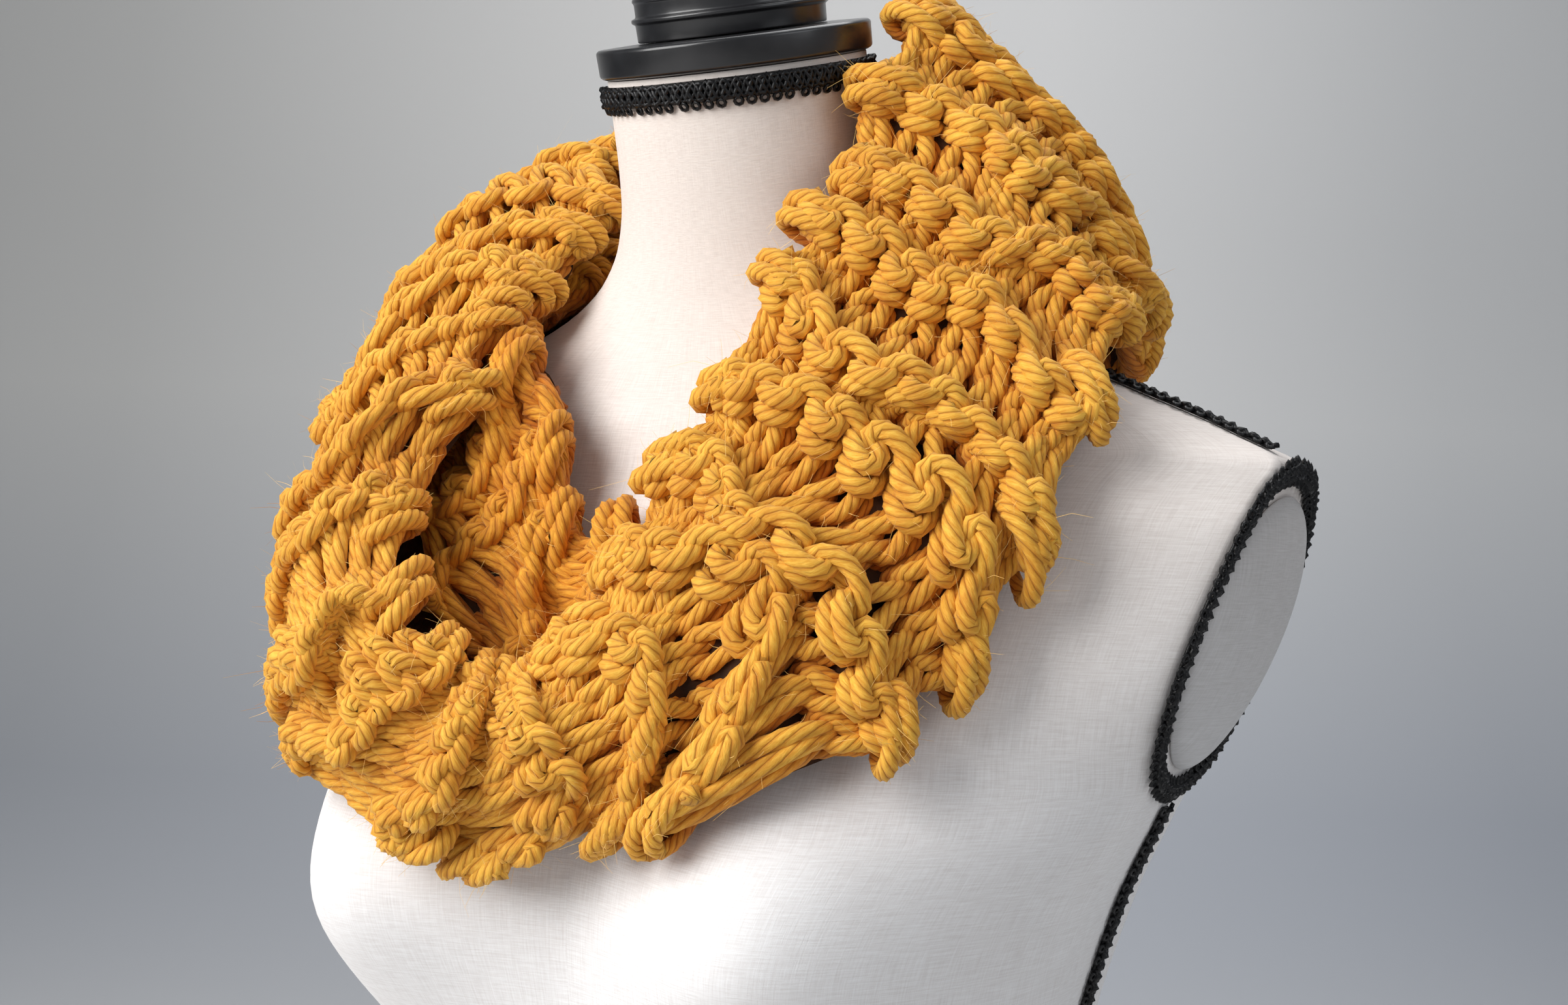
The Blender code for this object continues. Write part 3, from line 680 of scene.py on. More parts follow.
# ------------------------------------------------------------------ gimp braid
def even_steps(path, closed, step):
    path = np.asarray(path, float)
    loop = np.concatenate([path, path[:1]]) if closed else path
    run = np.concatenate([[0], np.cumsum(np.linalg.norm(np.diff(loop, axis=0), axis=1))])
    count = int(round(run[-1] / step))
    at = np.linspace(0, run[-1], count, endpoint=not closed) if not closed else np.linspace(0, run[-1], count, endpoint=False)
    return np.stack([np.interp(at, run, loop[:, k]) for k in range(3)], axis=1), run[-1]


def gimp_braid(name, path, closed, wide, cad_node, both=True, low_side=-1, wave=8.4):
    """Four cords crossing in a flat braid over a thin core, with a round picot loop every few millimetres along its edge."""
    pts, length = even_steps(path, closed, 1.5)
    near, up = [], []
    for p in pts:
        q, n = on_form(p, 0)
        near.append(q)
        up.append(n)
    near, up = np.array(near), np.array(up)
    for _ in range(4):
        if closed:
            up = (np.roll(up, 1, 0) + 2 * up + np.roll(up, -1, 0)) / 4
            near = (np.roll(near, 1, 0) + 2 * near + np.roll(near, -1, 0)) / 4
        else:
            up[1:-1] = (up[:-2] + 2 * up[1:-1] + up[2:]) / 4
            near[1:-1] = (near[:-2] + 2 * near[1:-1] + near[2:]) / 4
    if closed:
        along_way = np.roll(near, -1, 0) - np.roll(near, 1, 0)
    else:
        along_way = np.gradient(near, axis=0)
    along_way /= np.linalg.norm(along_way, axis=1, keepdims=True)
    up -= along_way * (up * along_way).sum(axis=1, keepdims=True)
    up /= np.linalg.norm(up, axis=1, keepdims=True)
    across = np.cross(up, along_way)
    count = len(near)
    waves = round(length / wave)
    phase = 2 * np.pi * waves * np.arange(count) / (count if closed else count - 1)
    reach = wide / 2 - 1.5
    cords = []
    for c in range(4):
        a = phase + c * np.pi / 2
        height = 2.15 + 0.75 * np.cos(2 * a + c * np.pi)
        cords.append(near + across * (reach * np.sin(a))[:, None] + up * height[:, None])
    cords = np.array(cords)
    points, quads, tris, *_ = tubes(cords, 0.92, 5, closed=closed, first=np.tile(up[0], (4, 1)))
    # thin core under the cords
    half = wide / 2 - 0.9
    core = np.stack([near + across * s * half + up * h for s, h in ((-1, 0.5), (-0.8, 1.6), (0.8, 1.6), (1, 0.5))], axis=1)[::2]
    base = len(points)
    number = base + np.arange(core.shape[0] * 4).reshape(-1, 4)
    core_quads = ringed(number, closed)
    core_tris = [] if closed else [[number[0, 0], number[0, 1], number[0, 2]], [number[0, 0], number[0, 2], number[0, 3]], [number[-1, 2], number[-1, 1], number[-1, 0]], [number[-1, 3], number[-1, 2], number[-1, 0]]]
    all_points = [points, core.reshape(-1, 3)]
    all_quads = [quads, core_quads]
    all_tris = [tris, np.array(core_tris, int).reshape(-1, 3)]
    base += core.shape[0] * 4
    # picot loops
    loops = []
    steps = 8
    t = 2 * np.pi * np.arange(steps) / steps
    places = round(length / 4.9)
    for side in (1, -1):
        if not both and side != low_side:
            continue
        for k in range(places):
            i = int((k + (0.0 if side > 0 else 0.5)) * count / places) % count
            centre = near[i] + across[i] * side * (wide / 2 - 0.1) + up[i] * 1.7
            loops.append(centre + np.outer(np.cos(t) * 1.35, across[i] * side) + np.outer(np.sin(t) * 1.35, along_way[i]) + np.outer(np.cos(t) * -0.45, up[i]))
    loops = np.array(loops)
    points, quads, tris, *_ = tubes(loops, 0.78, 3, closed=True, first=np.tile(np.array([0.1, 0.2, 0.97]), (len(loops), 1)))
    all_points.append(points)
    all_quads.append(quads + base)
    obj = mesh_object(name, np.concatenate(all_points), np.concatenate(all_quads), gimp, tris=np.concatenate(all_tris))
    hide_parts(cad_node)
    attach(obj, "root")
    return obj


axis = np.array([0.0, -math.sin(LEAN), math.cos(LEAN)])
side_x = np.array([1.0, 0.0, 0.0])
side_y = np.array([0.0, math.cos(LEAN), math.sin(LEAN)])
turn = np.linspace(0, 2 * math.pi, 120, endpoint=False)
gimp_braid(
    "neck_gimp",
    [NECK_TOP - axis * 5.9 + 48.8 * (side_x * math.cos(t) + side_y * math.sin(t)) for t in turn],
    True,
    9.6,
    "neck_braid",
    both=False,
    low_side=-1,
)
arm_levels = np.linspace(-108, -6, 24)
for side_name, sign in (("left", 1), ("right", -1)):
    mirror = np.array([sign, 1, 1])
    sections = [form_section(z) for z in arm_levels]
    front_line = [s[FRONT_COLUMNS - 1] for s in sections]
    back_line = [s[FRONT_COLUMNS - 1 + FLAT_COLUMNS] for s in sections]
    top = (front_line[-1] + back_line[-1]) / 2 + np.array([0.4, 0, 3.0])
    foot = (front_line[0] + back_line[0]) / 2 + np.array([-3.0, 0, -9.0])
    even, _ = even_steps(front_line + [top] + back_line[::-1] + [foot], True, 7.0)
    for _ in range(3):
        even = (np.roll(even, 1, 0) + 2 * even + np.roll(even, -1, 0)) / 4
    gimp_braid(f"armhole_gimp_{side_name}", even * mirror, True, 7.2, f"armhole_braid_{side_name}")
    seam = []
    for z in np.linspace(-121.5, -556.0, 60):
        yc, lean, side, full, front, back, power = smooth_table(FORM, "flat", z)
        seam.append((side * sign, yc, SHOULDER + z))
    gimp_braid(f"side_gimp_{side_name}", seam, False, 7.0, f"side_seam_braid_{side_name}")
    seam = [
        on_form(((66 + 132 * t) * sign, -8 + 7 * t, SHOULDER + 58 - 53 * t), 0)[0]
        for t in np.linspace(0, 1.02, 30)
    ]
    gimp_braid(f"shoulder_gimp_{side_name}", seam, False, 7.0, f"shoulder_braid_{side_name}")

# ------------------------------------------------------------------ scarf: where it lies
RIDGES = 28
# ridge number, then its direction at the neck edge, a quarter, half and three quarters of the way along, and at the hem; degrees from the front towards +X
RIDGE_LINES = [
    (0, -30, -30, -35, -44, -54),
    (1, -20, -20, -27, -36, -46),
    (2, -10, -9, -12, -22, -34),
    (3, -1, 4, 13, 18, -2),
    (4, 9, 17, 27, 36, 28),
    (5, 18, 27, 38, 49, 49),
    (6, 27, 38, 50, 58, 60),
    (7, 38, 49, 59, 65, 70),
    (8, 49, 63, 73, 78, 82),
    (9, 61, 73, 82, 88, 94),
    (10, 74, 84, 92, 99, 106),
    (11, 88, 96, 103, 110, 117),
    (12, 103, 109, 115, 121, 128),
    (13, 118, 122, 127, 132, 138),
    (14, 133, 136, 140, 144, 149),
    (15, 148, 150, 153, 156, 159),
    (16, 163, 164, 166, 168, 170),
    (17, 178, 178, 179, 180, 181),
    (18, 193, 192, 192, 192, 192),
    (19, 207, 206, 205, 204, 203),
    (20, 221, 220, 219, 217, 214),
    (21, 235, 234, 233, 230, 226),
    (22, 249, 248, 246, 243, 237),
    (23, 262, 262, 260, 255, 248),
    (24, 276, 276, 274, 268, 260),
    (25, 291, 291, 289, 282, 273),
    (26, 306, 305, 302, 295, 286),
    (27, 320, 319, 314, 306, 297),
    (28, 330, 330, 325, 316, 306),
]
# direction, then distance from the neck axis and height above the shoulder points at five places from the neck edge to the hem
OUTER = [
    # dir   neck edge    upper      belly      lower      hem
    (-165, 72, 154, 90, 134, 106, 92, 112, 48, 104, 4),
    (-140, 74, 148, 96, 132, 118, 92, 130, 48, 124, 12),
    (-115, 77, 132, 104, 124, 130, 92, 142, 46, 140, 20),
    (-98, 76, 113, 104, 116, 134, 94, 151, 50, 148, 22),
    (-80, 68, 91, 98, 101, 134, 86, 156, 42, 155, 4),
    (-62, 67, 64, 98, 72, 130, 56, 152, 6, 162, -58),
    (-50, 80, 43, 108, 46, 138, 24, 162, -30, 164, -90),
    (-40, 103, 19, 128, 16, 154, -12, 170, -62, 161, -118),
    (-30, 134, -22, 154, -26, 168, -48, 170, -92, 155, -130),
    (-20, 148, -62, 162, -68, 170, -90, 160, -122, 142, -138),
    (-10, 138, -82, 150, -92, 158, -108, 150, -130, 131, -147),
    (0, 120, -84, 134, -92, 148, -106, 142, -128, 122, -147),
    (10, 112, -40, 128, -62, 145, -88, 143, -118, 128, -140),
    (22, 102, 8, 116, -20, 135, -60, 146, -96, 142, -130),
    (36, 85, 62, 104, 26, 128, -22, 148, -70, 151, -120),
    (50, 76, 88, 100, 54, 130, 6, 152, -50, 148, -98),
    (62, 68, 120, 92, 84, 128, 36, 158, -14, 152, -54),
    (75, 64, 149, 86, 119, 122, 73, 149, 30, 154, -2),
    (90, 59, 166, 84, 141, 120, 101, 140, 64, 140, 34),
    (105, 59, 168, 84, 142, 118, 103, 137, 62, 134, 26),
    (123, 61, 168, 85, 139, 116, 101, 133, 58, 128, 12),
    (150, 65, 164, 86, 136, 110, 97, 120, 52, 112, 2),
    (180, 69, 157, 87, 133, 103, 94, 108, 50, 102, 0),
]
# direction, height where the inner wrap starts at the neck, height where it ends under the outer wrap
INNER = [
    (-160, 96, 10),
    (-120, 84, 24),
    (-95, 66, 34),
    (-75, 46, -2),
    (-55, 32, -56),
    (-38, 15, -92),
    (-28, 1, -104),
    (-19, -34, -112),
    (-10, -40, -116),
    (2, -36, -116),
    (14, -22, -110),
    (28, 6, -98),
    (45, 38, -66),
    (62, 62, -22),
    (80, 82, 28),
    (100, 92, 42),
    (125, 100, 22),
    (160, 100, 8),
]
OUTER_THICK, INNER_THICK = 14.0, 13.0
INNER_LIFT = 3.4 + INNER_THICK / 2  # middle of the inner wrap above the form
HEM_LIFT = 3.4 + OUTER_THICK / 2
OVER_INNER = INNER_LIFT + INNER_THICK / 2 + 1.6 + OUTER_THICK / 2
AXIS_Y = -5.0


def in_space(direction, distance, height):
    a = math.radians(direction)
    return np.array(
        [distance * math.sin(a), AXIS_Y - distance * math.cos(a), SHOULDER + height]
    )


def along(row, v):
    """Distance and height at a share v of the way from the neck edge to the hem."""
    pts = np.array(row).reshape(-1, 2)
    step = np.linalg.norm(np.diff(pts, axis=0), axis=1)
    run = np.concatenate([[0], np.cumsum(step)]) / step.sum()
    rows = np.concatenate([run[:, None], pts], axis=1)
    return smooth_table(rows, "free", v)


def form_radius(direction, height):
    """Where a level line out from the neck axis leaves the form."""
    a = math.radians(direction)
    far = Vector((600 * math.sin(a), AXIS_Y - 600 * math.cos(a), SHOULDER + height))
    hit, _, _, _ = form_tree.ray_cast(far, Vector((-math.sin(a), math.cos(a), 0)))
    return math.hypot(hit.x, hit.y - AXIS_Y)


def inner_point(direction, v):
    start, end = smooth_table(INNER, "free", direction, 360)
    # equal steps along the surface, found from a few heights
    heights = np.linspace(start, end, 13)
    reach = np.array([form_radius(direction, h) for h in heights])
    run = np.concatenate([[0], np.cumsum(np.hypot(np.diff(heights), np.diff(reach)))])
    at = v * run[-1]
    return in_space(direction, np.interp(at, run, reach), np.interp(at, run, heights))


def outer_point(direction, v):
    row = smooth_table(OUTER, "free", direction, 360)
    distance, height = along(row, v)
    return in_space(direction, distance, height)


def ridge_direction(line, v):
    """The direction at a share v of the way along a ridge, through its five stated directions."""
    quarters = [(q / 4, direction) for q, direction in enumerate(line)]
    return smooth_table(quarters, "free", v)[0]


def middle_of_wrap(which, columns, stations):
    """The middle surface of one wrap: columns run along the ridges, from the neck edge to the hem."""
    grid = np.zeros((columns, stations, 3))
    for c in range(columns):
        line = smooth_table(RIDGE_LINES, "free", RIDGES * c / columns)
        for j in range(stations):
            v = j / (stations - 1)
            direction = ridge_direction(line, v)
            if which == "inner":
                direction = ridge_direction(line, 0.10 + 0.45 * v)
                p = inner_point(direction, v)
                # it bellies away from the form at the form's right front, where the outer wrap stands off it
                off = (direction + 180) % 360 - 180 + 36
                grid[c, j] = on_form(p, INNER_LIFT + 11 * math.exp(-((off / 25) ** 2)))[0]
                continue
            p = outer_point(direction, v)
            near, _ = on_form(p, 0)
            start, end = smooth_table(INNER, "free", direction, 360)
            # how far the place is past either edge of the inner wrap, where the outer one may come closer to the form
            level = near[2] - SHOULDER
            share = min(1.0, max(0.0, (end - level - 9) / 24, (level - start - 3) / 17))
            share = share * share * (3 - 2 * share)
            need = OVER_INNER + (HEM_LIFT - OVER_INNER) * share
            grid[c, j] = clear_of_form(p, need)
    return grid


def smoothed(grid, passes):
    for _ in range(passes):
        grid = (np.roll(grid, 1, 0) + 2 * grid + np.roll(grid, -1, 0)) / 4
        inside = grid.copy()
        inside[:, 1:-1] = (grid[:, :-2] + 2 * grid[:, 1:-1] + grid[:, 2:]) / 4
        grid = inside
    return grid


def normals_of(grid):
    round_way = np.roll(grid, -1, 0) - np.roll(grid, 1, 0)
    down_way = np.gradient(grid, axis=1)
    n = np.cross(round_way, down_way)
    n /= np.linalg.norm(n, axis=2, keepdims=True)
    out = grid - np.array([0, AXIS_Y, SHOULDER - 60])
    return n if (n * out).sum() > 0 else -n


inner_tree = tree_of(nodes["scarf_inner_wrap"])


def clear_of_inner(point, distance):
    """The point, moved away from the inner wrap and never towards the form, until it is at least this far from it."""
    p = Vector(point)
    for _ in range(5):
        near, normal, _, _ = inner_tree.find_nearest(p)
        away = p - near
        out = away.dot(normal) > 0
        gap = away.length if out else -away.length
        if gap >= distance - 1e-3:
            break
        off_form = Vector(on_form(p, 0)[1])
        aim = away.normalized() if out and away.length > 0.5 else normal.copy()
        if aim.dot(off_form) < 0.2:
            aim = off_form
        p = p + aim * (distance - gap)
    return np.array(p)


inner_grid = smoothed(middle_of_wrap("inner", 56, 6), 1)
outer_grid = smoothed(middle_of_wrap("outer", 84, 8), 1)
for c in range(84):
    for j in range(8):
        p = clear_of_form(outer_grid[c, j], HEM_LIFT)
        outer_grid[c, j] = clear_of_form(clear_of_inner(p, OUTER_THICK / 2 + 1.5), HEM_LIFT)


class Surface:
    """The middle surface of a wrap, smooth between its grid points: u counts evenly spaced ridges round the neck, v runs from the neck edge (0) to the hem (1)."""

    def __init__(self, grid, ridges):
        self.grid = grid
        self.ridges = ridges
        self.even = self.raw = np.array([0.0, ridges])
        first = 2 * grid[:, :1] - grid[:, 1:2]
        last = 2 * grid[:, -1:] - grid[:, -2:-1]
        self.wide = np.concatenate([first, grid, last], axis=1)
        fine = np.linspace(0, ridges, 561)
        run = np.zeros(561)
        for v in (0.1, 0.3, 0.5, 0.7, 0.9):
            step = np.linalg.norm(np.diff(self.point(fine, v), axis=0), axis=1)
            run[1:] += np.cumsum(step)
        self.even, self.raw = run / run[-1] * ridges, fine
        centre = np.array([0, AXIS_Y, SHOULDER - 60])
        self.sign = 1.0
        _, n, _, _ = self.at(np.linspace(0, ridges, 50), np.full(50, 0.5))
        p = self.point(np.linspace(0, ridges, 50), np.full(50, 0.5))
        if ((p - centre) * n).sum() < 0:
            self.sign = -1.0

    @staticmethod
    def weights(t):
        return np.stack(
            [
                -0.5 * t + t**2 - 0.5 * t**3,
                1 - 2.5 * t**2 + 1.5 * t**3,
                0.5 * t + 2 * t**2 - 1.5 * t**3,
                -0.5 * t**2 + 0.5 * t**3,
            ],
            axis=-1,
        )

    def point(self, u, v):
        u, v = np.broadcast_arrays(np.asarray(u, float), np.asarray(v, float))
        columns, stations = self.grid.shape[:2]
        x = (np.interp(u % self.ridges, self.even, self.raw) / self.ridges * columns) % columns
        inside = np.clip(v, 0, 1)
        y = inside * (stations - 1)
        i = np.floor(x).astype(int)
        j = np.minimum(np.floor(y).astype(int), stations - 2)
        wx, wy = self.weights(x - i), self.weights(y - j)
        out = np.zeros(u.shape + (3,))
        for a in range(4):
            for b in range(4):
                g = self.wide[(i - 1 + a) % columns, j + b]
                out += g * (wx[..., a] * wy[..., b])[..., None]
        beyond = v - inside
        if np.abs(beyond).max() > 0:
            near = np.where(v > 0.5, 1 - 0.02, 0.02)
            edge = np.where(v > 0.5, 1.0, 0.0)
            slope = (self.point(u, edge) - self.point(u, near)) / (edge - near)[..., None]
            out = out + slope * beyond[..., None]
        return out

    def at(self, u, v):
        """Point, outward normal, and the change of the point for one ridge and for the whole width."""
        e = 0.02
        p = self.point(u, v)
        du = (self.point(u + e, v) - self.point(u - e, v)) / (2 * e)
        vc = np.clip(v, 0.01, 0.99)
        dv = (self.point(u, vc + 0.01) - self.point(u, vc - 0.01)) / 0.02
        n = np.cross(du, dv)
        n /= np.linalg.norm(n, axis=-1, keepdims=True)
        return p, n * self.sign, du, dv


INNER_RIDGES = 20
outer_surface = Surface(outer_grid, RIDGES)
inner_surface = Surface(inner_grid, INNER_RIDGES)

# ------------------------------------------------------------------ scarf: one garter stitch
STITCHES = 9  # across the band
STITCH = 21.0  # mm of the band's width that the cell below is worked out for
STRAND = 5.8  # mm, one of the two strands that are knitted together
STEPS = 28


def knit_cell(length, width, apart, passes=140, rise=5.6, depth=7.6, omega=0.19, smooth=0.04):
    """Middle lines of the two rows of one garter stitch, each of two strands: (row and strand, step, [round the neck, along the ridge, depth]) in mm, with the ridge at 0. The strands start as plain loops and are pushed apart until they lie on each other."""
    t = (np.arange(STEPS) + 0.5) / STEPS
    lines = []
    for row, sign in ((-1, 1), (1, -1)):
        u = row * length / 4 - (length / 4 + rise) * np.cos(2 * np.pi * t)
        v = width * (t + omega * np.sin(4 * np.pi * t))
        n = -sign * depth * np.cos(2 * np.pi * t)
        mid = np.stack([u, v, n], axis=1)
        step = np.roll(mid, -1, 0) - np.roll(mid, 1, 0)
        step[0, 1] += width
        step[-1, 1] += width
        side = np.stack([-step[:, 1], step[:, 0], 0 * t], axis=1)
        side /= np.linalg.norm(side, axis=1, keepdims=True)
        roll = np.sin(2 * np.pi * t) ** 2 * np.radians(np.where(t < 0.5, 78, 20))
        if row > 0:
            roll = roll[::-1]
        pair = side * np.cos(roll)[:, None] + np.array([0, 0, 1.0]) * np.sin(roll)[:, None]
        for s in (-0.5, 0.5):
            lines.append(mid + pair * s * apart)
    p = np.array(lines)
    wrap = np.array([0, width, 0])

    def seg(q):
        d = np.roll(q, -1, 1) - q
        d[:, -1] += wrap
        return d

    rest = np.linalg.norm(seg(p), axis=2).mean(axis=1)
    count = 4 * STEPS
    line = np.repeat(np.arange(4), STEPS)
    order = np.tile(np.arange(STEPS), 4)
    shifts, skips = [], []
    for i in (-1, 0, 1):
        for j in (-1, 0, 1):
            shifts.append((i * length, j * width, 0.0))
            near = np.abs(order[:, None] - order[None] - j * STEPS) * rest[line][:, None] < 9.0
            own = (line[:, None] == line[None]) & near
            skips.append(own if i == 0 else np.zeros((count, count), bool))
    skips, shifts = np.array(skips), np.array(shifts)
    for _ in range(passes):
        flat = p.reshape(-1, 3)
        d = flat[None, :, None] - (flat[None] + shifts[:, None])[:, None]
        dist = np.sqrt((d * d).sum(axis=3)) + 1e-6
        short = np.where(skips, 0.0, np.maximum(apart - dist, 0.0))
        push = (d * (short / dist * 0.5)[..., None]).sum(axis=(0, 2))
        hits = np.maximum((short > 0).sum(axis=(0, 2)), 1)
        p = (flat + push / np.sqrt(hits)[:, None]).reshape(4, STEPS, 3)
        for a, b in ((0, 1), (2, 3)):
            d = p[b] - p[a]
            dist = np.linalg.norm(d, axis=1, keepdims=True)
            pull = np.clip(dist - apart * 1.1, 0, None) * 0.2
            p[a] += d / dist * pull
            p[b] -= d / dist * pull
        for _ in range(2):
            d = seg(p)
            dist = np.linalg.norm(d, axis=2, keepdims=True)
            fix = d / dist * (dist - rest[:, None, None]) * 0.25
            p = p + fix - np.roll(fix, 1, 1)
        before = np.roll(p, 1, 1)
        before[:, 0] -= wrap
        after = np.roll(p, -1, 1)
        after[:, -1] += wrap
        p = p + smooth * (before + after - 2 * p)
        p[..., 0] -= p[..., 0].mean()
        p[..., 2] -= p[..., 2].mean()
        p[..., 1] -= p[..., 1].mean() - width / 2
        deep = np.abs(p[..., 2]) - 7.6
        p[..., 2] = np.where(deep > 0, np.sign(p[..., 2]) * (7.6 + deep * 0.7), p[..., 2])
    return p


SHORT, LONG = 34.0, 54.0
short_cell = knit_cell(SHORT, STITCH, 5.2)
long_cell = knit_cell(LONG, STITCH, 5.2)


def cell_at(stretch, steps):
    """The stitch for a given ridge spacing (array), at evenly spaced steps along the yarn."""
    at = np.arange(steps) * STEPS / steps
    i = np.floor(at).astype(int)
    f = (at - i)[:, None]
    out = []
    for cell in (short_cell, long_cell):
        nxt = np.roll(cell, -1, 1)
        nxt[:, -1, 1] += STITCH
        out.append(cell[:, i] * (1 - f) + nxt[:, i] * f)
    share = np.clip((stretch - SHORT) / (LONG - SHORT), -0.35, 1.5)[..., None, None, None]
    return out[0] * (1 - share) + out[1] * share  # ..., 4, steps, 3


# slow unevenness of hand knitting, the same for all yarn at one place
waves = rng.normal(size=(26, 2)) * np.array([1.9, 8.5])
wave_phase = rng.uniform(0, 2 * np.pi, 26)
wave_size = rng.normal(size=(26, 3)) * np.array([0.085, 0.011, 0.75]) * 0.62


def uneven(u, v, ridges):
    w = 2 * np.pi * np.round(waves[:, 0] * RIDGES / 4) / ridges
    a = u[..., None] * w + v[..., None] * waves[:, 1] + wave_phase
    return np.sin(a) @ wave_size


def row_paths(surface, ridges, first, last, steps, squeeze):
    """Yarn paths of all ridges: (ridge, row and strand, points, 3), from stitch `first` to `last`, with each point's depth."""
    ridges = np.asarray(ridges, float)
    stitches = np.arange(first, last)
    k, s = np.meshgrid(ridges, stitches, indexing="ij")
    v_mid = (s + 0.5) / STITCHES
    _, _, du, dv = surface.at(k, v_mid)
    pitch = np.linalg.norm(du, axis=-1)
    cell = cell_at(pitch, steps)  # ridges, stitches, 4, steps, 3
    u = k[..., None, None] - cell[..., 0] / pitch[..., None, None]
    v = (s[..., None, None] + cell[..., 1] / STITCH) / STITCHES
    n = cell[..., 2]
    # the spacing changes smoothly from stitch to stitch
    count = len(stitches) * steps
    u = np.moveaxis(u, 2, 1).reshape(len(ridges), 4, count)
    v = np.moveaxis(v, 2, 1).reshape(len(ridges), 4, count)
    n = np.moveaxis(n, 2, 1).reshape(len(ridges), 4, count)
    for _ in range(2):
        u[..., 1:-1] = (u[..., :-2] + 2 * u[..., 1:-1] + u[..., 2:]) / 4
        n[..., 1:-1] = (n[..., :-2] + 2 * n[..., 1:-1] + n[..., 2:]) / 4
    # between the ridges the fabric draws in at its edges
    v = v - 0.04 * np.sin(np.pi * (u - k[:, :1, None])) ** 2 * (2 * v - 1) ** 3
    d = uneven(u, v, surface.ridges)
    p, normal, _, _ = surface.at(u + d[..., 0], v + d[..., 1])
    n = np.where(n < 0, n * squeeze[0], n * squeeze[1] + 0.035 * n * n * squeeze[1])
    return p + normal * (n + d[..., 2])[..., None], n, normal


def edge_paths(surface, ridges, edge, steps):
    """The doubled yarn that turns round the end of each ridge, at the neck edge (0) or the hem (1)."""
    t = 2 * np.pi * np.arange(steps) / steps
    out, depth, norms = [], [], []
    for k in ridges:
        _, _, du, dv = surface.at(np.array([float(k)]), np.array([float(edge)]))
        pitch, span = np.linalg.norm(du[0]), np.linalg.norm(dv[0])
        for strand in (-0.5, 0.5):
            wob = rng.normal(size=4)
            long_half = (11.0 if edge == 0 else 12.5) + 0.8 * wob[0]
            middle = 5.6 + 0.6 * wob[1]  # mm inside the edge
            x = middle - long_half * np.cos(t)  # along the ridge, from outside the edge inwards
            n = 7.6 * np.sin(t) + 2.0
            n = np.where(n < 0, n * 0.8, n)
            tilt = 0.16 + 0.07 * wob[2]
            y = strand * STRAND * 1.12 + tilt * (x - middle) * (1 if edge == 0 else -1)
            y = y + 1.6 * strand * np.sin(t)
            v = edge + (x / span) * (1 if edge == 0 else -1)
            u = k + (y + 1.0 * wob[3]) / pitch
            d = uneven(np.full(steps, float(k)), np.full(steps, float(edge)), surface.ridges)
            p, normal, _, _ = surface.at(u + d[:, 0], v + d[:, 1])
            out.append(p + normal * (n + d[:, 2])[:, None])
            depth.append(n)
            norms.append(normal)
    return np.array(out), np.array(depth), np.array(norms)


def keep_clear(paths, radius):
    """Yarn never reaches into the form."""
    flat = paths.reshape(-1, 3)
    for i, p in enumerate(flat):
        near, normal, _, _ = form_tree.find_nearest(Vector(p))
        away = Vector(p) - near
        gap = away.dot(normal)
        if gap < radius:
            flat[i] = np.array(Vector(p) + normal * (radius - gap))
    return flat.reshape(paths.shape)


SIDES = 2 * PLIES
hair_roots = []


def yarn_piece(name, paths, depth, normals, closed, mat, lobe_depth, sides=SIDES, hairs=0, plump=1.0):
    """One mesh of many strands. `depth` darkens what lies low in the fabric with painted shade."""
    many, count, _ = paths.shape
    size = STRAND / 2 * (1.0 + 0.035 * rng.normal(size=(many, 1)) + 0.04 * np.sin(np.arange(count) * 0.21 + rng.uniform(0, 6.28, (many, 1))))
    size = size * (1.0 + 0.22 * np.clip((depth - 1.0) / 6.5, -0.8, 0.9)) * plump
    first = normals[:, 0]
    points, quads, tris, lobe, length, which, _ = tubes(
        paths, size, sides, closed=closed, lobes=PLIES, lobe_depth=lobe_depth, lay=0.92, first=first
    )
    # painted shade: how strongly each point is darkened for lying low in the fabric
    sunk_shade = np.clip((1.5 - depth) / 9.0, 0, 1).reshape(-1)
    sunk_shade = np.repeat(sunk_shade, sides)
    column = np.tile(np.arange(sides) / sides, many * count)
    q_uv = np.stack([column[quads], length[quads]], axis=-1)
    # the last column's faces run on to 1, and a closed strand's last ring on to its full length
    wrap_u = (q_uv[..., 0].max(axis=1) - q_uv[..., 0].min(axis=1)) > 0.5
    q_uv[..., 0] = np.where(wrap_u[:, None] & (q_uv[..., 0] < 0.5), q_uv[..., 0] + 1, q_uv[..., 0])
    far = (q_uv[..., 1].max(axis=1) - q_uv[..., 1].min(axis=1)) > 12
    q_uv[..., 1] = np.where(far[:, None] & (q_uv[..., 1] < 12), q_uv[..., 1].max(axis=1, keepdims=True) + 3, q_uv[..., 1])
    q_uv[..., 1] += (which[quads] * 7.3) % 61
    t_uv = np.stack([column[tris], length[tris]], axis=-1)
    uv = np.concatenate([q_uv.reshape(-1, 2), t_uv.reshape(-1, 2)])
    obj = mesh_object(name, points, quads, mat, attributes={"sunk_shade": sunk_shade}, uv=uv, tris=tris)
    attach(obj, "root")
    if hairs:
        strand = rng.integers(0, many, hairs)
        place = rng.integers(1, count - 1, hairs)
        keep = depth[strand, place] > -1.0
        strand, place = strand[keep], place[keep]
        hair_roots.append((paths[strand, place], normals[strand, place], paths[strand, place + 1] - paths[strand, place - 1]))
    return obj


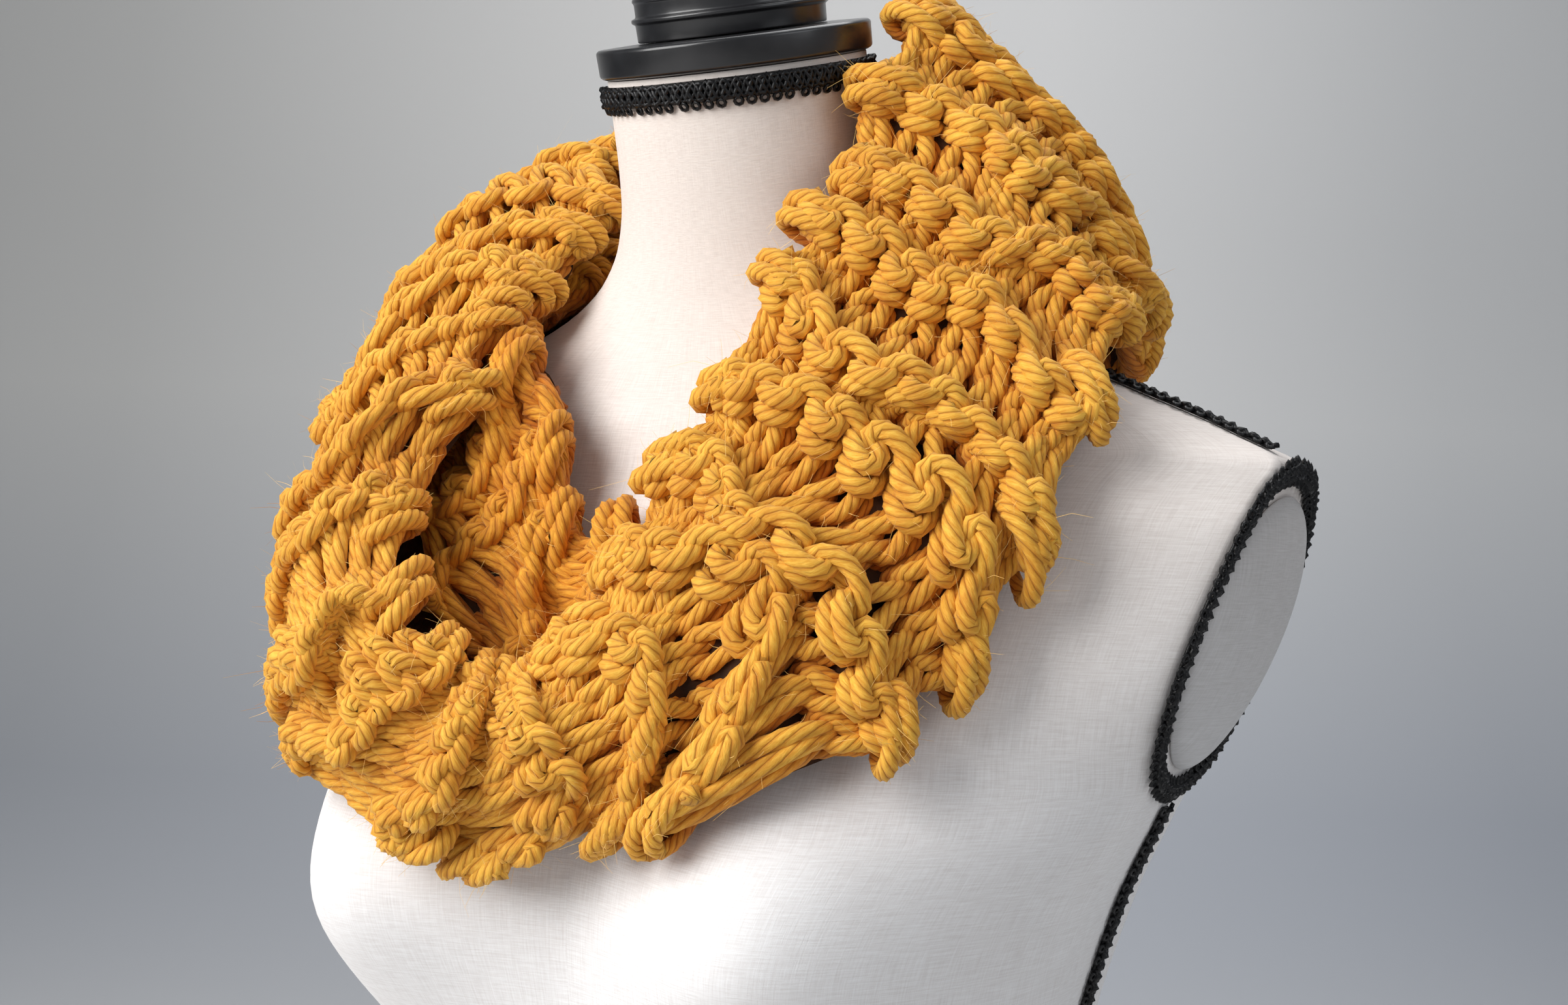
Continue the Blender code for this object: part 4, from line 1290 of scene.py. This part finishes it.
outer_pieces, inner_pieces = [], []
SECTORS = 4
per = RIDGES // SECTORS
for sector in range(SECTORS):
    ridges = np.arange(sector * per, (sector + 1) * per)
    steps = 22 if sector == 2 else 27
    p, depth, normals = row_paths(outer_surface, ridges, 0, STITCHES, steps, (0.88, 1.0))
    count = p.shape[2]
    p = keep_clear(p.reshape(-1, count, 3), STRAND / 2 + 0.9)
    outer_pieces.append(
        yarn_piece(f"outer_knit_{sector + 1}", p, depth.reshape(-1, count), normals.reshape(-1, count, 3), False, mustard, 0.085, hairs=3000)
    )
for edge, label in ((0, "rim"), (1, "hem")):
    p, depth, normals = edge_paths(outer_surface, range(RIDGES), edge, 24)
    p = keep_clear(p, STRAND / 2 + 0.9)
    outer_pieces.append(yarn_piece(f"outer_{label}_turns", p, depth, normals, True, mustard, 0.085, hairs=1400))
ahead = inner_surface.point(np.arange(INNER_RIDGES), 0.5)[:, 1] < -22
print("inner ridges in front", ahead.sum())
for label, ridges, stitches, steps in (("front", np.flatnonzero(ahead), 7, 18), ("back", np.flatnonzero(~ahead), 3, 14)):
    p, depth, normals = row_paths(inner_surface, ridges, 0, stitches, steps, (0.75, 0.8))
    count = p.shape[2]
    p = keep_clear(p.reshape(-1, count, 3), STRAND / 2 + 0.7)
    inner_pieces.append(
        yarn_piece(f"inner_knit_{label}", p, depth.reshape(-1, count), normals.reshape(-1, count, 3), False, mustard_shaded_in, 0.08, hairs=900)
    )
p, depth, normals = edge_paths(inner_surface, range(INNER_RIDGES), 0, 20)
p = keep_clear(p, STRAND / 2 + 0.7)
inner_pieces.append(yarn_piece("inner_rim_turns", p, depth * 0.8, normals, True, mustard_shaded_in, 0.08))

# ------------------------------------------------------------------ scarf: loose fibres
roots = np.concatenate([h[0] for h in hair_roots])
normal = np.concatenate([h[1] for h in hair_roots])
way = np.concatenate([h[2] for h in hair_roots])
way /= np.linalg.norm(way, axis=1, keepdims=True)
many = len(roots)
spin = rng.uniform(-1.5, 1.5, many)[:, None]
flank = np.cross(way, normal)
flank /= np.linalg.norm(flank, axis=1, keepdims=True)
out = normal * np.cos(spin) + flank * np.sin(spin)
start = roots + out * STRAND * 0.46
lean_way = way * rng.uniform(-1, 1, (many, 1)) + out * rng.uniform(0.15, 0.9, (many, 1))
lean_way /= np.linalg.norm(lean_way, axis=1, keepdims=True)
curl = rng.normal(size=(many, 3)) * 0.7
reach = rng.gamma(2.2, 1.7, (many, 1)) + 1.5
thin = 0.075
strips, faces = [], []
for s in range(3):
    f = s / 2
    at = start + lean_way * reach * f + curl * reach * 0.35 * f * f
    wide = np.cross(lean_way + curl * 0.5, normal)
    wide /= np.linalg.norm(wide, axis=1, keepdims=True) + 1e-9
    strips += [at - wide * thin * (1 - 0.6 * f), at + wide * thin * (1 - 0.6 * f)]
strips = np.stack(strips, axis=1)  # many, 6, 3
base = np.arange(many)[:, None] * 6
for s in range(2):
    faces.append(base + np.array([2 * s, 2 * s + 1, 2 * s + 3, 2 * s + 2]))
hairs = mesh_object("loose_fibres", strips.reshape(-1, 3), np.concatenate(faces), fuzz)
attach(hairs, "root")

# ------------------------------------------------------------------ scarf: dark ground of each wrap, painted shade in the gaps
def shade_ground_sheet(name, surface, depth, columns, rows, v_from, v_to, mat):
    u = np.linspace(0, surface.ridges, columns, endpoint=False)
    v = np.linspace(v_from, v_to, rows)
    uu, vv = np.meshgrid(u, v, indexing="ij")
    d = uneven(uu, vv, surface.ridges)
    p, n, _, _ = surface.at(uu + d[..., 0], vv + d[..., 1])
    ripple = depth + 2.6 * np.cos(2 * np.pi * uu)
    p = p + n * ripple[..., None]
    p = keep_clear(p, 1.2)
    number = np.arange(columns * rows).reshape(columns, rows)
    after = np.roll(number, -1, 0)
    quads = np.stack([number[:, :-1], number[:, 1:], after[:, 1:], after[:, :-1]], axis=-1).reshape(-1, 4)
    obj = mesh_object(name, p.reshape(-1, 3), quads, mat)
    area = np.linalg.norm(np.cross(p[:, 1:] - p[:, :-1], np.roll(p, -1, 0)[:, :-1] - p[:, :-1]), axis=2).sum()
    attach(obj, "root")
    print(name, "area m2", area * 1e-6)
    return obj, area * 1e-6


outer_shade_ground, outer_area = shade_ground_sheet("outer_shade_ground", outer_surface, -2.2, 168, 20, 0.03, 0.97, shade_ground)
inner_shade_ground, inner_area = shade_ground_sheet("inner_shade_ground", inner_surface, -1.5, 140, 14, 0.03, 1.0, shade_ground)
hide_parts("scarf_outer_wrap")
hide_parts("scarf_inner_wrap")

# ------------------------------------------------------------------ stage, light and camera
def plain(name, colour, rough):
    mat, tree, bsdf = new_material(name)
    bsdf.inputs["Base Color"].default_value = (*colour, 1)
    bsdf.inputs["Roughness"].default_value = rough
    bsdf.inputs["Specular IOR Level"].default_value = 0.1
    return mat


AZIMUTH, ELEVATION, ROLL = math.radians(29.89), math.radians(-0.45), math.radians(2.21)
back = Vector((math.sin(AZIMUTH) * math.cos(ELEVATION), -math.cos(AZIMUTH) * math.cos(ELEVATION), math.sin(ELEVATION)))
right = Vector((math.cos(AZIMUTH), math.sin(AZIMUTH), 0))
up = back.cross(right)
cam_right = right * math.cos(ROLL) + up * math.sin(ROLL)
cam_up = up * math.cos(ROLL) - right * math.sin(ROLL)
camera = bpy.data.objects.new("camera", bpy.data.cameras.new("camera"))
bpy.context.collection.objects.link(camera)
camera.matrix_world = Matrix(
    (
        (cam_right.x, cam_up.x, back.x, 0.3629),
        (cam_right.y, cam_up.y, back.y, -0.6130),
        (cam_right.z, cam_up.z, back.z, 0.5341),
        (0, 0, 0, 1),
    )
)
camera.data.sensor_width = 36
camera.data.lens = 2800 / 2403 * 36
camera.data.clip_start, camera.data.clip_end = 0.01, 50
bpy.context.scene.camera = camera


def flat_back(v):
    """Stage directions: x to the camera's right, y away from the camera, z up, from the foot of the form."""
    x, y, z = v
    return right * x - Vector((back.x, back.y, 0)).normalized() * y + Vector((0, 0, z))


def stage_material():
    """A pale floor that runs up into a grey backdrop, with painted light and shade on the backdrop: lighter at the
    upper right, darker and bluer low down.
    """
    mat, tree, bsdf = new_material("studio_paper")
    where = node(tree, "ShaderNodeTexCoord").outputs["Object"]
    split = node(tree, "ShaderNodeSeparateXYZ")
    tree.links.new(where, split.inputs[0])
    tall = maths(tree, "MULTIPLY", maths(tree, "ADD", split.outputs["Z"], 0.2), 0.8, clamp=True)
    far = maths(tree, "MULTIPLY", maths(tree, "SUBTRACT", split.outputs["Y"], 0.55), 0.9, clamp=True)
    sideways = maths(tree, "MULTIPLY", maths(tree, "ADD", split.outputs["X"], 1.0), 0.5, clamp=True)
    # painted light and shade on the grey paper: lightest a little right of the middle, darker to the sides, darker and
    # bluer towards the floor
    wall = ramp(tree, sideways, [(0.0, (0.37, 0.37, 0.365)), (0.42, (0.47, 0.468, 0.465)), (0.70, (0.50, 0.50, 0.50)), (1.0, (0.43, 0.435, 0.44))])
    low = ramp(tree, tall, [(0.10, (0.50, 0.545, 0.64)), (0.72, (1, 1, 1))])
    wall = blend(tree, "MULTIPLY", 1.0, wall, low)
    base = blend(tree, "MIX", far, (0.52, 0.52, 0.52, 1), wall)
    tree.links.new(base, bsdf.inputs["Base Color"])
    bsdf.inputs["Roughness"].default_value = 0.95
    bsdf.inputs["Specular IOR Level"].default_value = 0.1
    return mat


# the paper lies flat round the form and sweeps up behind it
profile = [(-2.6, -0.0006), (1.1, -0.0006)]
profile += [(1.1 + 1.0 * math.sin(a), 1.0 - 1.0 * math.cos(a) - 0.0006) for a in np.linspace(0.08, math.pi / 2, 20)]
profile += [(2.1, 4.2)]
paper_points = []
for x in (-4.5, 4.5):
    for y, z in profile:
        paper_points.append((x * 1000, y * 1000, z * 1000))
n = len(profile)
paper_quads = [[i, n + i, n + i + 1, i + 1] for i in range(n - 1)]
paper = mesh_object("paper", np.array(paper_points), paper_quads, stage_material())
paper.rotation_euler = (0, 0, AZIMUTH)
paper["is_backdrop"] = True


def lamp(name, at, size, energy, colour, aim=(0, 0, 0.5)):
    data = bpy.data.lights.new(name, "AREA")
    data.shape = "RECTANGLE"
    data.size, data.size_y = size
    data.energy = energy
    data.color = colour
    obj = bpy.data.objects.new(name, data)
    bpy.context.collection.objects.link(obj)
    obj.location = flat_back(at)
    obj.rotation_euler = (Vector(aim) - obj.location).to_track_quat("-Z", "Y").to_euler()
    return obj


lamp("window", (-1.35, -0.9, 1.25), (1.3, 1.5), 42.0, (1.0, 0.99, 0.975))
lamp("fill", (1.5, -1.3, 1.3), (1.2, 1.2), 7.5, (0.93, 0.96, 1.0))
lamp("over", (0.25, 0.35, 2.1), (1.2, 1.2), 15.0, (1.0, 1.0, 1.0))
lamp("backdrop", (0.15, 0.75, 1.9), (1.6, 0.6), 16.0, (1.0, 1.0, 1.0), flat_back((0.35, 2.3, 0.75)))
bpy.context.scene.view_settings.view_transform = "Standard"
world = bpy.data.worlds.new("room")
bpy.context.scene.world = world
world.use_nodes = True
world.node_tree.nodes["Background"].inputs["Color"].default_value = (0.80, 0.84, 0.90, 1)
world.node_tree.nodes["Background"].inputs["Strength"].default_value = 0.28

triangles = {}
graph = bpy.context.evaluated_depsgraph_get()
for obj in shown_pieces():
    obj.data.calc_loop_triangles()
    triangles[obj.name] = len(obj.data.loop_triangles)
print("triangles", sum(triangles.values()), triangles)
low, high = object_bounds()
